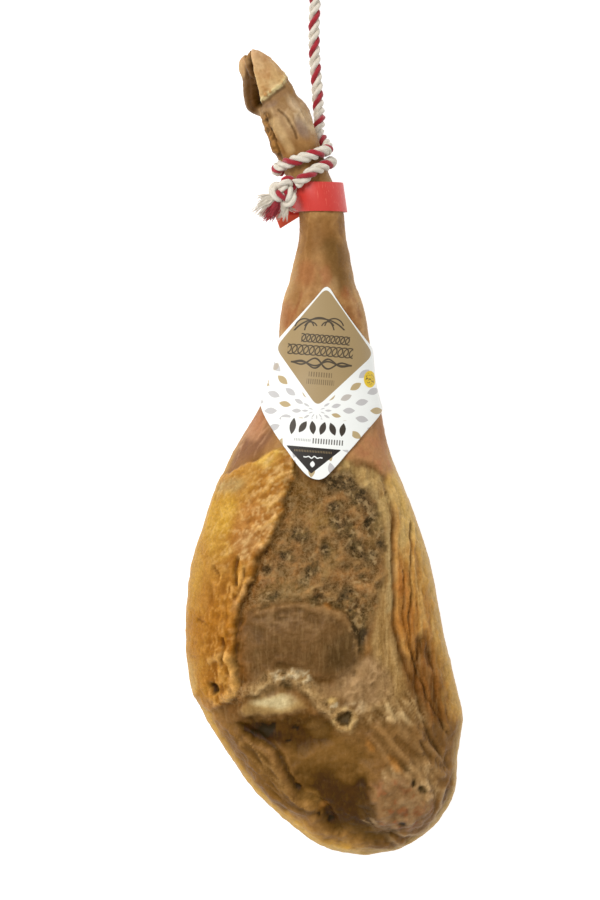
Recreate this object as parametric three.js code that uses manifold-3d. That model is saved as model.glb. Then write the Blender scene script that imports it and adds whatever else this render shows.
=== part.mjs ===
// A whole cured ham, lying on its skin side with the trimmed face up: the leg with its trotter, a
// printed label wrapped round the shank, a plastic seal band, and a twisted hanging rope that is wound
// twice round the shank, knotted, and laid out along the surface to its hanging loop.
// Millimetres. +Z is up, +Y runs along the leg to the trotter, and the origin is on the surface, under
// the middle of the leg's box.
import * as THREE from "three";
import { mergeVertices } from "three/addons/utils/BufferGeometryUtils.js";
import Module from "manifold-3d";

// ---- driving dimensions ----
const HAM_LENGTH = 768; // butt to hoof tip
const HAM_WIDTH = 263;
const HAM_THICKNESS = 108;
const SHANK_WIDTH = 43.5;
const SHANK_THICKNESS = 45;
const SHANK_HEIGHT = 55; // centreline of the shank above the surface
const CLAW_WIDTH = 38;
const CLAW_DEPTH = 31;
const DEWCLAW_LENGTH = 26;
const DEWCLAW_WIDTH = 14;
const ROPE_DIAMETER = 10;
const KNOT_DIAMETER = 25;
const FRAY_LENGTH = 22;
const FRAY_WIDTH = 24;
const BAND_HEIGHT = 28;
const BAND_THICKNESS = 1;
const BAND_PLAY = 3; // free space between the band and each side of the shank
const BAND_TAIL = 28;
const LABEL_THICKNESS = 0.5;
const LABEL_TOP = 58; // above the middle of the upper diamond
const LABEL_TIP = 124; // below it
const LABEL_WRAP = 24; // degrees that its widest part reaches round each side of the shank
const REST_CLEARANCE = 1.2; // between the leg and what lies against it
const LABEL_CLEARANCE = 2;
const JOINT_GAP = 0.5; // between the rope and its knots, and in the band's lap

// ---- small helpers ----
const lerp = (a, b, share) => a + (b - a) * share;
const vec = (x, y, z) => new THREE.Vector3(x, y, z);
const radians = THREE.MathUtils.degToRad;
const smooth = THREE.MathUtils.smoothstep;
const signedPower = (value, power) => Math.sign(value) * Math.abs(value) ** power;

// A smooth function through rows of [position, value, value, ...] that doesn't overshoot them.
function profile(rows, column) {
  const at = rows.map((row) => row[0]);
  const value = rows.map((row) => row[column]);
  const chord = at.slice(1).map((x, i) => (value[i + 1] - value[i]) / (x - at[i]));
  const slope = at.map((_, i) => {
    if (i === 0) return chord[0];
    if (i === at.length - 1) return chord[i - 1];
    const [before, after] = [chord[i - 1], chord[i]];
    return before * after <= 0 ? 0 : (2 * before * after) / (before + after);
  });
  return (x) => {
    if (x <= at[0]) return value[0];
    if (x >= at[at.length - 1]) return value[value.length - 1];
    const i = at.findIndex((end) => x <= end) - 1;
    const step = at[i + 1] - at[i];
    const t = (x - at[i]) / step;
    const rise = value[i + 1] - value[i];
    const curve = step * (slope[i] * t * (1 - t) ** 2 - slope[i + 1] * t * t * (1 - t));
    return value[i] + rise * t * t * (3 - 2 * t) + curve;
  };
}

// ---- the leg's shape ----
// Seen from above, from the butt (0) to where the toes leave the foot (1): the middle and half width.
// The leg's own rows are shares of its width, and the shank's half widths are multiples of the shank's.
const LEG_END = 0.947; // the toes leave the leg at this share of its length
const legRows = [
  [0, 0.141, 0.35],
  [0.03, 0.139, 0.353],
  [0.058, 0.128, 0.37],
  [0.09, 0.103, 0.39],
  [0.122, 0.074, 0.404],
  [0.153, 0.051, 0.438],
  [0.184, 0.031, 0.468],
  [0.216, 0, 0.479],
  [0.25, -0.018, 0.475],
  [0.29, -0.036, 0.465],
  [0.34, -0.045, 0.451],
  [0.39, -0.05, 0.426],
  [0.435, -0.05, 0.386],
  [0.466, -0.053, 0.357],
  [0.498, -0.055, 0.321],
  [0.529, -0.051, 0.284],
  [0.561, -0.036, 0.248],
  [0.592, -0.017, 0.212],
  [0.623, -0.012, 0.186],
  [0.655, -0.004, 0.17],
  [0.7, -0.008, 0.158],
  [0.72, -0.01, 0.15],
].map(([along, middle, half]) => [along, middle * HAM_WIDTH, half * HAM_WIDTH]);
const shankRows = [
  [0.75, -0.013, 0.72],
  [0.78, -0.011, 0.62],
  [0.811, -0.011, 0.51],
  [0.843, -0.013, 0.49],
  [0.865, -0.034, 0.485],
  [0.89, -0.064, 0.485],
  [0.906, -0.082, 0.5],
  [0.93, -0.108, 0.545],
  [0.953, -0.13, 0.56],
  [0.975, -0.142, 0.545],
  [1, -0.148, 0.53],
].map(([along, middle, half]) => [along, middle * HAM_WIDTH, half * SHANK_WIDTH]);
const outline = [...legRows, ...shankRows];

// Seen from the side: the lowest and highest points. The leg's are shares of its thickness, and the
// shank's are above or below its centreline in multiples of its thickness.
const sideRows = [
  ...[
    [0, -0.06, 0.72],
    [0.06, -0.08, 0.83],
    [0.16, -0.1, 0.9],
    [0.3, -0.1, 0.97],
    [0.42, -0.08, 1],
    [0.5, -0.03, 0.97],
    [0.56, 0.07, 0.9],
    [0.64, 0.18, 0.8],
  ].map(([along, low, high]) => [along, low * HAM_THICKNESS, high * HAM_THICKNESS]),
  ...[
    [0.74, -0.62, 0.68],
    [0.83, -0.5, 0.5],
    [0.9, -0.47, 0.5],
    [0.95, -0.54, 0.54],
    [1, -0.48, 0.5],
  ].map(([along, low, high]) => [
    along,
    SHANK_HEIGHT + low * SHANK_THICKNESS,
    SHANK_HEIGHT + high * SHANK_THICKNESS,
  ]),
];
const middleAt = profile(outline, 1);
const halfWidthAt = profile(outline, 2);
const lowestAt = profile(sideRows, 1);
const highestAt = profile(sideRows, 2);
// How square the section is: 2 is an ellipse.
const squarenessAt = profile([[0, 2.2], [0.3, 2.45], [0.6, 2.2], [0.8, 2], [1, 2]], 1);

const BUTT_Y = -HAM_LENGTH / 2;
const TOES_Y = BUTT_Y + HAM_LENGTH * LEG_END;
const BUTT_ROUNDING = 95; // how far from its end the butt starts to close
const FOOT_ROUNDING = 26;
const WIDEST_AT = 0.46; // the section is widest at this share of its height
const shareAt = (y) => (y - BUTT_Y) / (TOES_Y - BUTT_Y);
const yAt = (share) => lerp(BUTT_Y, TOES_Y, share);

// How far the leg has closed towards its rounded ends, from 0 at the very end to 1.
function closing(y) {
  const rounded = (distance, radius) => Math.sqrt(1 - (1 - Math.min(1, distance / radius)) ** 2);
  return rounded(Math.max(0, y - BUTT_Y), BUTT_ROUNDING) * rounded(Math.max(0, TOES_Y - y), FOOT_ROUNDING);
}

// The section at y, with its outline moved out by offset. The angle is 0 on the right side (+X) and 90
// degrees on the upper face. What would go below the surface lies flat on it.
function skin(y, angle, offset = 0) {
  const share = shareAt(y);
  const close = closing(y);
  const low = lowestAt(share);
  const high = highestAt(share);
  const widest = lerp(low, high, WIDEST_AT);
  const power = 2 / squarenessAt(share);
  const across = halfWidthAt(share) * close + offset;
  const up = (Math.sin(angle) > 0 ? high - widest : widest - low) * close + offset;
  const x = middleAt(share) + across * signedPower(Math.cos(angle), power);
  const z = widest + up * signedPower(Math.sin(angle), power);
  return vec(x, y, Math.max(z, -offset));
}

// ---- geometry made by bending three.js's own closed shapes ----
function bent(geometry, place) {
  const position = geometry.getAttribute("position");
  const point = new THREE.Vector3();
  for (let i = 0; i < position.count; i++) {
    point.fromBufferAttribute(position, i);
    const to = place(point);
    position.setXYZ(i, to.x, to.y, to.z);
  }
  geometry.deleteAttribute("normal");
  geometry.deleteAttribute("uv");
  return mergeVertices(geometry, 1e-3);
}

// A ball bent into a closed form: place gets the share from its first pole (0) to its last (1), and the
// angle round that axis.
function bentBall(around, lengthways, place) {
  return bent(new THREE.SphereGeometry(1, around, lengthways), (p) => {
    const share = Math.acos(THREE.MathUtils.clamp(-p.y, -1, 1)) / Math.PI;
    return place(share, Math.atan2(p.z, p.x));
  });
}

// A box bent into a closed sheet: place gets the shares along its length, width and thickness.
function bentSheet(lengthways, across, place) {
  const box = new THREE.BoxGeometry(1, 1, 1, lengthways, across, 1);
  return bent(box, (p) => place(p.x + 0.5, p.y + 0.5, p.z + 0.5));
}

const wasm = await Module();
wasm.setup();
function solid(geometry) {
  const mesh = new wasm.Mesh({
    numProp: 3,
    vertProperties: new Float32Array(geometry.getAttribute("position").array),
    triVerts: new Uint32Array(geometry.index.array),
  });
  return new wasm.Manifold(mesh);
}
function geometryOf(manifold) {
  const mesh = manifold.getMesh();
  const geometry = new THREE.BufferGeometry();
  geometry.setAttribute("position", new THREE.BufferAttribute(mesh.vertProperties, mesh.numProp));
  geometry.setIndex(new THREE.BufferAttribute(mesh.triVerts, 1));
  return geometry;
}

// ---- the leg: one grown piece, from butt to hooves ----
// Rings lie closer together towards both ends, where the leg closes.
const RING_CROWDING = 0.55;
function legBody() {
  return bentBall(40, 64, (share, angle) => {
    const eased = share - (RING_CROWDING * Math.sin(2 * Math.PI * share)) / (2 * Math.PI);
    return skin(lerp(BUTT_Y, TOES_Y, eased), angle);
  });
}

// A toe or dewclaw: a tapering form from its base to a blunt tip that bends a little. Its frame is the
// direction it points in, its width, and its depth.
function claw(base, direction, length, width, depth) {
  const forward = direction.clone().normalize();
  const side = new THREE.Vector3().crossVectors(forward, vec(0, 0, 1)).normalize();
  const up = new THREE.Vector3().crossVectors(side, forward);
  const taperAt = profile([[0, 0.8], [0.3, 1], [0.6, 0.95], [0.85, 0.72], [1, 0.5]], 1);
  const blunt = 0.22;
  return bentBall(16, 14, (share, angle) => {
    const fromEnd = Math.min(1, Math.min(share, 1 - share) / blunt);
    const radius = taperAt(share) * Math.sqrt(1 - (1 - fromEnd) ** 2);
    return base
      .clone()
      .addScaledVector(forward, share * length)
      .addScaledVector(side, (radius * width * Math.cos(angle)) / 2)
      .addScaledVector(up, (radius * depth * Math.sin(angle)) / 2);
  });
}

// The upper toe reaches the hoof tip. The lower one starts further on and lies beside and under it.
const footEnd = vec(middleAt(1), TOES_Y, SHANK_HEIGHT);
const upperRoot = footEnd.clone().add(vec(CLAW_WIDTH * 0.26, -43, CLAW_DEPTH * 0.16));
const lowerRoot = footEnd.clone().add(vec(-CLAW_WIDTH * 0.53, -24, -CLAW_DEPTH * 0.34));
const UPPER_LEAN = radians(25); // to the left of the leg's line
const LOWER_LEAN = radians(13);
const leaning = (angle) => vec(-Math.sin(angle), Math.cos(angle), 0);
const upperLength = (HAM_LENGTH / 2 - upperRoot.y) / Math.cos(UPPER_LEAN);
const HEEL_BACK = 60; // from the end of the leg back to where the dewclaws start
function foot() {
  const heelY = TOES_Y - HEEL_BACK;
  const heelShare = shareAt(heelY + DEWCLAW_LENGTH / 2);
  const heelX = middleAt(heelShare) - halfWidthAt(heelShare) + DEWCLAW_WIDTH * 0.7;
  const dewclaws = [0.62, -0.62].map((side) =>
    claw(
      vec(heelX, heelY, SHANK_HEIGHT + side * DEWCLAW_WIDTH),
      vec(-0.2, 1, 0.1 * side),
      DEWCLAW_LENGTH,
      DEWCLAW_WIDTH,
      DEWCLAW_WIDTH,
    ),
  );
  return [
    claw(upperRoot, leaning(UPPER_LEAN), upperLength, CLAW_WIDTH, CLAW_DEPTH),
    claw(lowerRoot, leaning(LOWER_LEAN), upperLength * 0.67, CLAW_WIDTH * 0.8, CLAW_DEPTH * 0.9),
    ...dewclaws,
  ];
}

function hamGeometry() {
  return geometryOf(foot().reduce((leg, toe) => leg.add(solid(toe)), solid(legBody())));
}

// ---- the label: one die-cut card, a diamond over a larger one, stuck on over the face and sides ----
const LABEL_Y = 99; // the middle of the upper diamond
const LABEL_X = -2.6; // its middle line there
const LABEL_LEAN = radians(3.4); // its top leans to the right
const LABEL_ROW = 5.5;
const LABEL_TURN = 10; // degrees round the shank from one row's edge to the next one's, at most
// Up the card from the tip to the top: how much of the shank's half width it covers, and how much of the
// full wrap round the sides it has.
const labelCuts = [
  ...[
    [-1, 0.02, 0],
    [-0.99, 0.08, 0],
    [-0.96, 0.13, 0],
    [-0.79, 0.37, 0],
    [-0.63, 0.64, 0],
    [-0.5, 0.9, 0],
    [-0.43, 0.98, 0.3],
    [-0.36, 1, 0.85],
    [-0.22, 1, 1],
    [0, 1, 0.25],
  ].map(([up, cover, wrap]) => [up * LABEL_TIP, cover, wrap]),
  ...[
    [0.1, 0.96, 0],
    [0.4, 0.66, 0],
    [0.7, 0.36, 0],
    [0.93, 0.14, 0],
    [0.98, 0.09, 0],
    [1, 0.02, 0],
  ].map(([up, cover, wrap]) => [up * LABEL_TOP, cover, wrap]),
];
// Round from the middle of the face to the card's edge, where the face's half width is covered so far.
function edgeAngle(y, cover, wrap) {
  const power = 2 / squarenessAt(shareAt(y));
  return Math.asin(Math.min(1, cover) ** (1 / power)) + radians(LABEL_WRAP) * wrap;
}
function labelRows() {
  const edge = ([up, cover, wrap]) => THREE.MathUtils.radToDeg(edgeAngle(LABEL_Y + up, cover, wrap));
  return labelCuts.flatMap((cut, i) => {
    if (i === 0) return [cut];
    const before = labelCuts[i - 1];
    const turned = Math.abs(edge(cut) - edge(before)) / LABEL_TURN;
    const steps = Math.ceil(Math.max((cut[0] - before[0]) / LABEL_ROW, turned));
    return Array.from({ length: steps }, (_, k) =>
      cut.map((value, column) => lerp(before[column], value, (k + 1) / steps)),
    );
  });
}
function labelGeometry() {
  const rows = labelRows();
  return bentSheet(26, rows.length - 1, (across, upShare, thick) => {
    const [up, cover, wrap] = rows[Math.round(upShare * (rows.length - 1))];
    const side = 2 * across - 1;
    const level = LABEL_Y + up;
    const turned = side * edgeAngle(level, cover, wrap);
    const face = halfWidthAt(shareAt(level)) * Math.sin(turned);
    const y = level - face * Math.sin(LABEL_LEAN);
    const middle = LABEL_X + up * Math.sin(LABEL_LEAN);
    const slip = (middle - middleAt(shareAt(level))) / halfWidthAt(shareAt(level));
    return skin(y, Math.PI / 2 - turned - slip, LABEL_CLEARANCE + thick * LABEL_THICKNESS);
  });
}

// ---- the seal band: one plastic strip, a loose turn round the shank and a tail ----
const BAND_Y = 243;
const BAND_STEPS = 56;
const BAND_START = radians(250); // where the inner end lies, below and to the left
const BAND_TURN = radians(372);
const BAND_TAIL_LEAN = 0.55; // how far the tail slants towards the butt as it runs out
const BAND_LAP = BAND_THICKNESS + JOINT_GAP; // the outer end passes this far over the inner one
const bandShare = shareAt(BAND_Y);
const bandRadius = BAND_PLAY + halfWidthAt(bandShare);
// The loose band hangs on the top of the shank, and stands off most below it.
const bandPoint = (y, angle, out) => skin(y, angle, REST_CLEARANCE + BAND_PLAY * (1 - Math.sin(angle)) + out);
function bandGeometry() {
  const turnLength = BAND_TURN * bandRadius;
  const end = BAND_START - BAND_TURN;
  const outwards = vec(Math.cos(end), 0, Math.sin(end));
  const onwards = vec(outwards.z, 0, -outwards.x);
  const lapAt = (turned) => BAND_LAP * smooth(turned, BAND_TURN - radians(70), BAND_TURN - radians(25));
  return bentSheet(BAND_STEPS, 1, (share, across, thick) => {
    const run = share * (turnLength + BAND_TAIL);
    const tail = Math.max(0, run - turnLength);
    const turned = Math.min(run / turnLength, 1) * BAND_TURN;
    const y = BAND_Y + (across - 0.5) * BAND_HEIGHT;
    return bandPoint(y, BAND_START - turned, lapAt(turned) + thick * BAND_THICKNESS)
      .addScaledVector(onwards, tail)
      .add(vec(0, -tail * BAND_TAIL_LEAN, 0));
  });
}

// ---- the rope ----
const ROPE_RADIUS = ROPE_DIAMETER / 2;
function ropeGeometry(curve, steps, sides = 8) {
  const section = new THREE.Shape(
    Array.from({ length: sides }, (_, i) => {
      const angle = (2 * Math.PI * i) / sides;
      return new THREE.Vector2(ROPE_RADIUS * Math.cos(angle), ROPE_RADIUS * Math.sin(angle));
    }),
  );
  const geometry = new THREE.ExtrudeGeometry(section, { steps, extrudePath: curve });
  geometry.deleteAttribute("normal");
  geometry.deleteAttribute("uv");
  return mergeVertices(geometry, 1e-3);
}

// The knot lies against the band, on the upper left of the shank.
const KNOT_SIDE = radians(139);
const KNOT_Y = 247;
const knotRadius = KNOT_DIAMETER / 2;
const bandWithKnot = BAND_PLAY + BAND_THICKNESS + REST_CLEARANCE + knotRadius;
const knotMiddle = skin(KNOT_Y, KNOT_SIDE, bandWithKnot);

// The rope is one curve. Its winding starts where the free rope leaves it: the angle round the shank, how far it lies towards
// the foot from the middle of the winding, and how far it stands off the shank.
const NOOSE_Y = 284.5;
const nooseRows = [
  [-46, 24, 9],
  [-40, 17, 5.5],
  [-26, 11, 2],
  [0, 4.5, 0],
  [45, 0, 0],
  [90, -6, 0],
  [135, -11.5, 0],
  [180, -15.5, 0],
  [225, -15, 0],
  [270, -12.5, 0],
  [320, -9.5, 0],
  [360, -8, 0],
  [405, -12.5, 0],
  [435, -17.5, 0],
  [455, -23, 1.5],
];
const noosePoints = nooseRows.map(([angle, up, lift]) =>
  skin(NOOSE_Y + up, radians(angle), ROPE_RADIUS + REST_CLEARANCE + lift),
);
const lastTurn = noosePoints[noosePoints.length - 1];
const intoKnot = lastTurn.clone().sub(knotMiddle).setLength(knotRadius + JOINT_GAP).add(knotMiddle);
// The free rope runs along the surface from the knot of its loop, and rises to the winding.
const ROPE_REST = ROPE_RADIUS + 0.15; // its centre, when it lies on the surface
const leadPoints = [
  vec(-8.6, 462, ROPE_REST + 1),
  vec(-9, 450, ROPE_REST),
  vec(-10.2, 425, ROPE_REST),
  vec(-10.8, 400, ROPE_REST),
  vec(-10, 375, ROPE_REST),
  vec(-8, 352, ROPE_REST + 1),
  vec(-7, 336, 8),
  vec(-6, 326, 13.5),
  vec(-5.4, 317, 20.5),
];
const ropeCurve = new THREE.CatmullRomCurve3([...leadPoints, ...noosePoints, intoKnot], false, "centripetal");

// The frayed end fans out of the knot, towards the butt and to the left.
const frayDirection = vec(-0.74, -0.66, -0.14).normalize();
function frayGeometry() {
  const side = new THREE.Vector3().crossVectors(frayDirection, vec(0, 0, 1)).normalize();
  const up = new THREE.Vector3().crossVectors(side, frayDirection);
  const start = knotMiddle.clone().addScaledVector(frayDirection, knotRadius + JOINT_GAP);
  const radiusAt = profile([[0, 0.25], [0.25, 0.42], [0.75, 1], [1, 0.92]], 1);
  const blunt = 0.12;
  const flatness = 0.6; // it is thinner than it is wide
  return bentBall(12, 10, (share, angle) => {
    const ended = Math.sqrt(1 - (1 - Math.min(1, Math.min(share, 1 - share) / blunt)) ** 2);
    const radius = (FRAY_WIDTH / 2) * radiusAt(share) * ended;
    return start
      .clone()
      .addScaledVector(frayDirection, share * FRAY_LENGTH)
      .addScaledVector(side, radius * Math.cos(angle))
      .addScaledVector(up, radius * flatness * Math.sin(angle));
  });
}

const loopKnotMiddle = vec(-8.4, 475, knotRadius * 0.8 + 0.15);

// The loop is an oval, out of the far side of its knot and back into it.
const LOOP_LENGTH = 92;
const LOOP_WIDTH = 46;
const LOOP_MOUTH = radians(20); // half of the oval's angle that lies in the knot
const loopMiddle = vec(loopKnotMiddle.x, loopKnotMiddle.y + 8.8 + LOOP_LENGTH / 2, ROPE_REST);
const loopPoints = Array.from({ length: 17 }, (_, i) => {
  const angle = -Math.PI / 2 + LOOP_MOUTH + ((2 * Math.PI - 2 * LOOP_MOUTH) * i) / 16;
  const taper = 1 - 0.25 * Math.max(0, -Math.sin(angle));
  const x = (LOOP_WIDTH / 2) * Math.cos(angle) * taper;
  return loopMiddle.clone().add(vec(x, (LOOP_LENGTH / 2) * Math.sin(angle), 0));
});
const loopCurve = new THREE.CatmullRomCurve3(loopPoints, false, "centripetal");

function knotGeometry(middle, height = 1) {
  return bentBall(14, 10, (share, angle) => {
    const ring = knotRadius * Math.sin(Math.PI * share);
    const y = -knotRadius * Math.cos(Math.PI * share);
    return middle.clone().add(vec(ring * Math.cos(angle), y, ring * height * Math.sin(angle)));
  });
}

// ---- the assembly ----
function piece(name, geometry, color, roughness) {
  const mesh = new THREE.Mesh(geometry, new THREE.MeshStandardMaterial({ color, roughness, metalness: 0 }));
  mesh.name = name;
  return mesh;
}

const ham = new THREE.Group();
ham.add(
  piece("ham", hamGeometry(), 0x9a6a38, 0.5),
  piece("label", labelGeometry(), 0xf2efe8, 0.45),
  piece("seal_band", bandGeometry(), 0xe2452f, 0.35),
  piece("rope", ropeGeometry(ropeCurve, 80), 0xe8ded0, 0.9),
  piece("rope_knot", knotGeometry(knotMiddle), 0xe8ded0, 0.9),
  piece("frayed_end", frayGeometry(), 0xe8ded0, 0.95),
  piece("loop_knot", knotGeometry(loopKnotMiddle, 0.8), 0xe8ded0, 0.9),
  piece("hanging_loop", ropeGeometry(loopCurve, 32), 0xe8ded0, 0.9),
);

export default ham;
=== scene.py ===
"""The looks of a cured ham: the leg with its trotter, the printed label, the seal band and the rope.
Lengths are in millimetres until a mesh is made. X runs to the right, Y towards the trotter, Z up."""

import math

import bmesh
import bpy
import numpy as np
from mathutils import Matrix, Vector


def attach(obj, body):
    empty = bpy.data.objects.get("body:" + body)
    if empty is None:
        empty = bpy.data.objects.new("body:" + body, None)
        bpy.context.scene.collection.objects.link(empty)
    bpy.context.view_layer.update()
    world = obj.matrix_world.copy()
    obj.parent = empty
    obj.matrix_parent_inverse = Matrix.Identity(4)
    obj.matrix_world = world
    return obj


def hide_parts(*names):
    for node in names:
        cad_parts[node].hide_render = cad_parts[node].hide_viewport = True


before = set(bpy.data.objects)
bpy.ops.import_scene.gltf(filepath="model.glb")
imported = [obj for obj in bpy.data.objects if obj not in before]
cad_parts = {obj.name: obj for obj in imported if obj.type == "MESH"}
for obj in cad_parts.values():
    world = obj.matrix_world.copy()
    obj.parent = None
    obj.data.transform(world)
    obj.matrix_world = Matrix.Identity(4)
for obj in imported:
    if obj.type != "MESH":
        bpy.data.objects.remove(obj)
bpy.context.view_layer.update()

MM = 0.001
WELD_METRES = 1e-5
PICTURE_HEIGHT = 855  # of the surface that the camera takes in, at the shank's height
CAMERA_AT = (-24.2, 2.9, 6000)
SHANK_HEIGHT = 55
SENSOR = 36  # the sensor's long side, which is the picture's height
WORLD_STRENGTH = 0.6
SUN_TOWARDS = (0.5, -0.5, -1)
SUN_STRENGTH = 2.1
SUN_SPREAD = 25  # degrees, for soft shadows
FLOOR_REACH = 9000
FLOOR_DEPTH = 0.4  # just below the pieces

ROPE_DIAMETER = 10
ROPE_LAY = 26  # one whole turn of a strand
ROPE_ROUTE = [
    (-28.5, 254.4, 82.8), (-18.5, 261.5, 84.6), (-11.4, 267.0, 82.2), (-1.1, 272.0, 74.6),
    (5.4, 276.5, 53.9), (-0.6, 275.0, 37.3), (-20.4, 272.0, 28.1), (-38.5, 269.5, 35.7),
    (-46.2, 269.0, 53.9), (-40.1, 273.0, 74.6), (-23.0, 278.5, 83.4), (-5.2, 284.5, 75.0),
    (2.0, 289.0, 53.5), (-1.2, 295.5, 40.3), (-4.7, 301.5, 31.6), (-6.9, 308.5, 26.4), (-5.4, 317.0, 20.5),
    (-6.0, 326.0, 13.5), (-7.0, 336.0, 8.0), (-8.0, 352.0, 5.7), (-10.0, 375.0, 4.7), (-10.8, 400.0, 4.7),
    (-10.2, 425.0, 4.7), (-9.0, 450.0, 4.7), (-8.6, 462.0, 5.7),
]
KNOT_AT = (-39, 247, 81)
LOOP_KNOT_AT = (-8.4, 475, 10.2)
LOOP_MIDDLE = (-8.4, 529.8, 4.8)
LOOP_SIZE = (46, 92)
LOOP_OPENING = 0.33  # radians left open on each side of its knot


# ---- numbers, curves and noise ----
def smooth(low, high, value):
    share = np.clip((value - low) / (high - low), 0, 1)
    return share * share * (3 - 2 * share)


def linear(red, green, blue):
    """A colour as it is seen, from 0 to 255, in the linear values that materials take."""
    seen = np.array([red, green, blue]) / 255
    return np.where(seen <= 0.04045, seen / 12.92, ((seen + 0.055) / 1.055) ** 2.4)


def catmull(points, steps, closed=False):
    """A smooth line through the points, with this many steps between each pair of them."""
    points = np.array(points, float)
    if closed:
        padded = np.vstack([points[-1:], points, points[:2]])
    else:
        padded = np.vstack([2 * points[0] - points[1], points, 2 * points[-1] - points[-2]])
    t = np.linspace(0, 1, steps, endpoint=False)[:, None]
    line = []
    for a, b, c, d in zip(padded, padded[1:], padded[2:], padded[3:]):
        curve = 2 * b + (c - a) * t + (2 * a - 5 * b + 4 * c - d) * t**2
        line.append((curve + (3 * b - a - 3 * c + d) * t**3) / 2)
    if not closed:
        line.append(points[-1:])
    return np.vstack(line)


def evenly(line, spacing):
    """The line again, with its points this far apart."""
    gone = np.concatenate([[0], np.cumsum(np.linalg.norm(np.diff(line, axis=0), axis=1))])
    count = max(2, round(gone[-1] / spacing) + 1)
    wanted = np.linspace(0, gone[-1], count)
    return np.stack([np.interp(wanted, gone, line[:, axis]) for axis in range(line.shape[1])], axis=1)


def lattice_noise(points, size, seed):
    """Smooth noise from -1 to 1 with features about this large."""
    table = np.random.default_rng(seed).uniform(-1, 1, (32, 32, 32))
    scaled = points / size
    corner = np.floor(scaled).astype(int)
    share = scaled - corner
    share = share * share * (3 - 2 * share)
    total = np.zeros(len(points))
    for step in np.ndindex(2, 2, 2):
        weight = np.prod(np.where(step, share, 1 - share), axis=1)
        at = (corner + step) % 32
        total += weight * table[at[:, 0], at[:, 1], at[:, 2]]
    return total


def fractal(points, size, seed, octaves=3):
    layers = [lattice_noise(points, size / 2**k, seed + k) * 0.55**k for k in range(octaves)]
    return sum(layers) / 1.3


# ---- meshes ----
def new_object(name, verts, faces):
    mesh = bpy.data.meshes.new(name)
    mesh.from_pydata((np.asarray(verts) * MM).tolist(), [], faces)
    mesh.update()
    obj = bpy.data.objects.new(name, mesh)
    bpy.context.scene.collection.objects.link(obj)
    return obj


def copy_of(node, name):
    """The solid model's node again as a new object, without its material."""
    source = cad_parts[node]
    obj = bpy.data.objects.new(name, source.data.copy())
    bpy.context.scene.collection.objects.link(obj)
    obj.matrix_world = source.matrix_world
    obj.data.materials.clear()
    return obj


def joined_faces(obj, shape):
    """The object's mesh for editing, its corners welded and its triangles joined into four-sided faces."""
    mesh = bmesh.new()
    mesh.from_mesh(obj.data)
    bmesh.ops.remove_doubles(mesh, verts=mesh.verts, dist=WELD_METRES)
    joining = dict(angle_face_threshold=0.6, angle_shape_threshold=shape)
    bmesh.ops.join_triangles(mesh, faces=mesh.faces, **joining)
    return mesh


def use_modifiers(obj):
    """Gives the object the mesh that its modifiers make of it."""
    ready = bpy.data.meshes.new_from_object(obj.evaluated_get(bpy.context.evaluated_depsgraph_get()))
    obj.modifiers.clear()
    obj.data = ready
    return ready


def shade_smooth(obj):
    obj.data.polygons.foreach_set("use_smooth", [True] * len(obj.data.polygons))


def add_values(obj, name, values):
    """A colour for each vertex, which the material reads by its name."""
    attribute = obj.data.color_attributes.new(name, "FLOAT_COLOR", "POINT")
    rgba = np.ones((len(values), 4))
    rgba[:, : values.shape[1]] = values
    attribute.data.foreach_set("color", rgba.ravel())


def frames_along(line, closed=False):
    """The tangent and two directions across it at each point, turning as little as they can."""
    tangents = np.gradient(line, axis=0)
    if closed:
        tangents = np.roll(line, -1, axis=0) - np.roll(line, 1, axis=0)
    tangents /= np.linalg.norm(tangents, axis=1)[:, None]
    side = np.cross(tangents[0], [0.3, 0.2, 1])
    sides = []
    for tangent in tangents:
        side = side - tangent * np.dot(side, tangent)
        side = side / np.linalg.norm(side)
        sides.append(side)
    sides = np.array(sides)
    return tangents, sides, np.cross(tangents, sides)


def tube_rings(line, radius, sides, across, upwards):
    """The vertices of a tube round the line: one ring for each of its points."""
    angles = np.arange(sides) * 2 * math.pi / sides
    c, s = np.cos(angles)[:, None], np.sin(angles)[:, None]
    ring = c * across[:, None] + s * upwards[:, None]
    return line[:, None] + np.broadcast_to(radius, len(line))[:, None, None] * ring


def tube_faces(rings, sides, first, closed=False):
    faces = []
    for ring in range(rings if closed else rings - 1):
        here, there = first + ring * sides, first + ((ring + 1) % rings) * sides
        for k in range(sides):
            n = (k + 1) % sides
            faces.append((here + k, here + n, there + n, there + k))
    if not closed:
        faces.append(tuple(first + k for k in reversed(range(sides))))
        faces.append(tuple(first + (rings - 1) * sides + k for k in range(sides)))
    return faces


# ---- materials: sockets joined by plain arithmetic ----
class Wire:
    """A value in a material's node tree. Arithmetic on wires makes the math nodes."""

    def __init__(self, tree, socket):
        self.tree = tree
        self.socket = socket

    def node(self, operation, *others, clamp=False):
        made = self.tree.nodes.new("ShaderNodeMath")
        made.operation = operation
        made.use_clamp = clamp
        for at, value in enumerate((self, *others)):
            if isinstance(value, Wire):
                self.tree.links.new(value.socket, made.inputs[at])
            else:
                made.inputs[at].default_value = value
        return Wire(self.tree, made.outputs[0])

    def __add__(self, other):
        return self.node("ADD", other)

    def __sub__(self, other):
        return self.node("SUBTRACT", other)

    def __mul__(self, other):
        return self.node("MULTIPLY", other)

    def __truediv__(self, other):
        return self.node("DIVIDE", other)

    def least(self, other):
        return self.node("MINIMUM", other)

    def most(self, other):
        return self.node("MAXIMUM", other)

    def size(self):
        return self.node("ABSOLUTE")

    def below(self, limit, soft=0.25):
        """1 where the value is below the limit, with an edge this soft."""
        return (self * (-1 / soft)).node("ADD", limit / soft + 0.5, clamp=True)

    def above(self, limit, soft=0.25):
        return (self * (1 / soft)).node("ADD", 0.5 - limit / soft, clamp=True)


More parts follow.
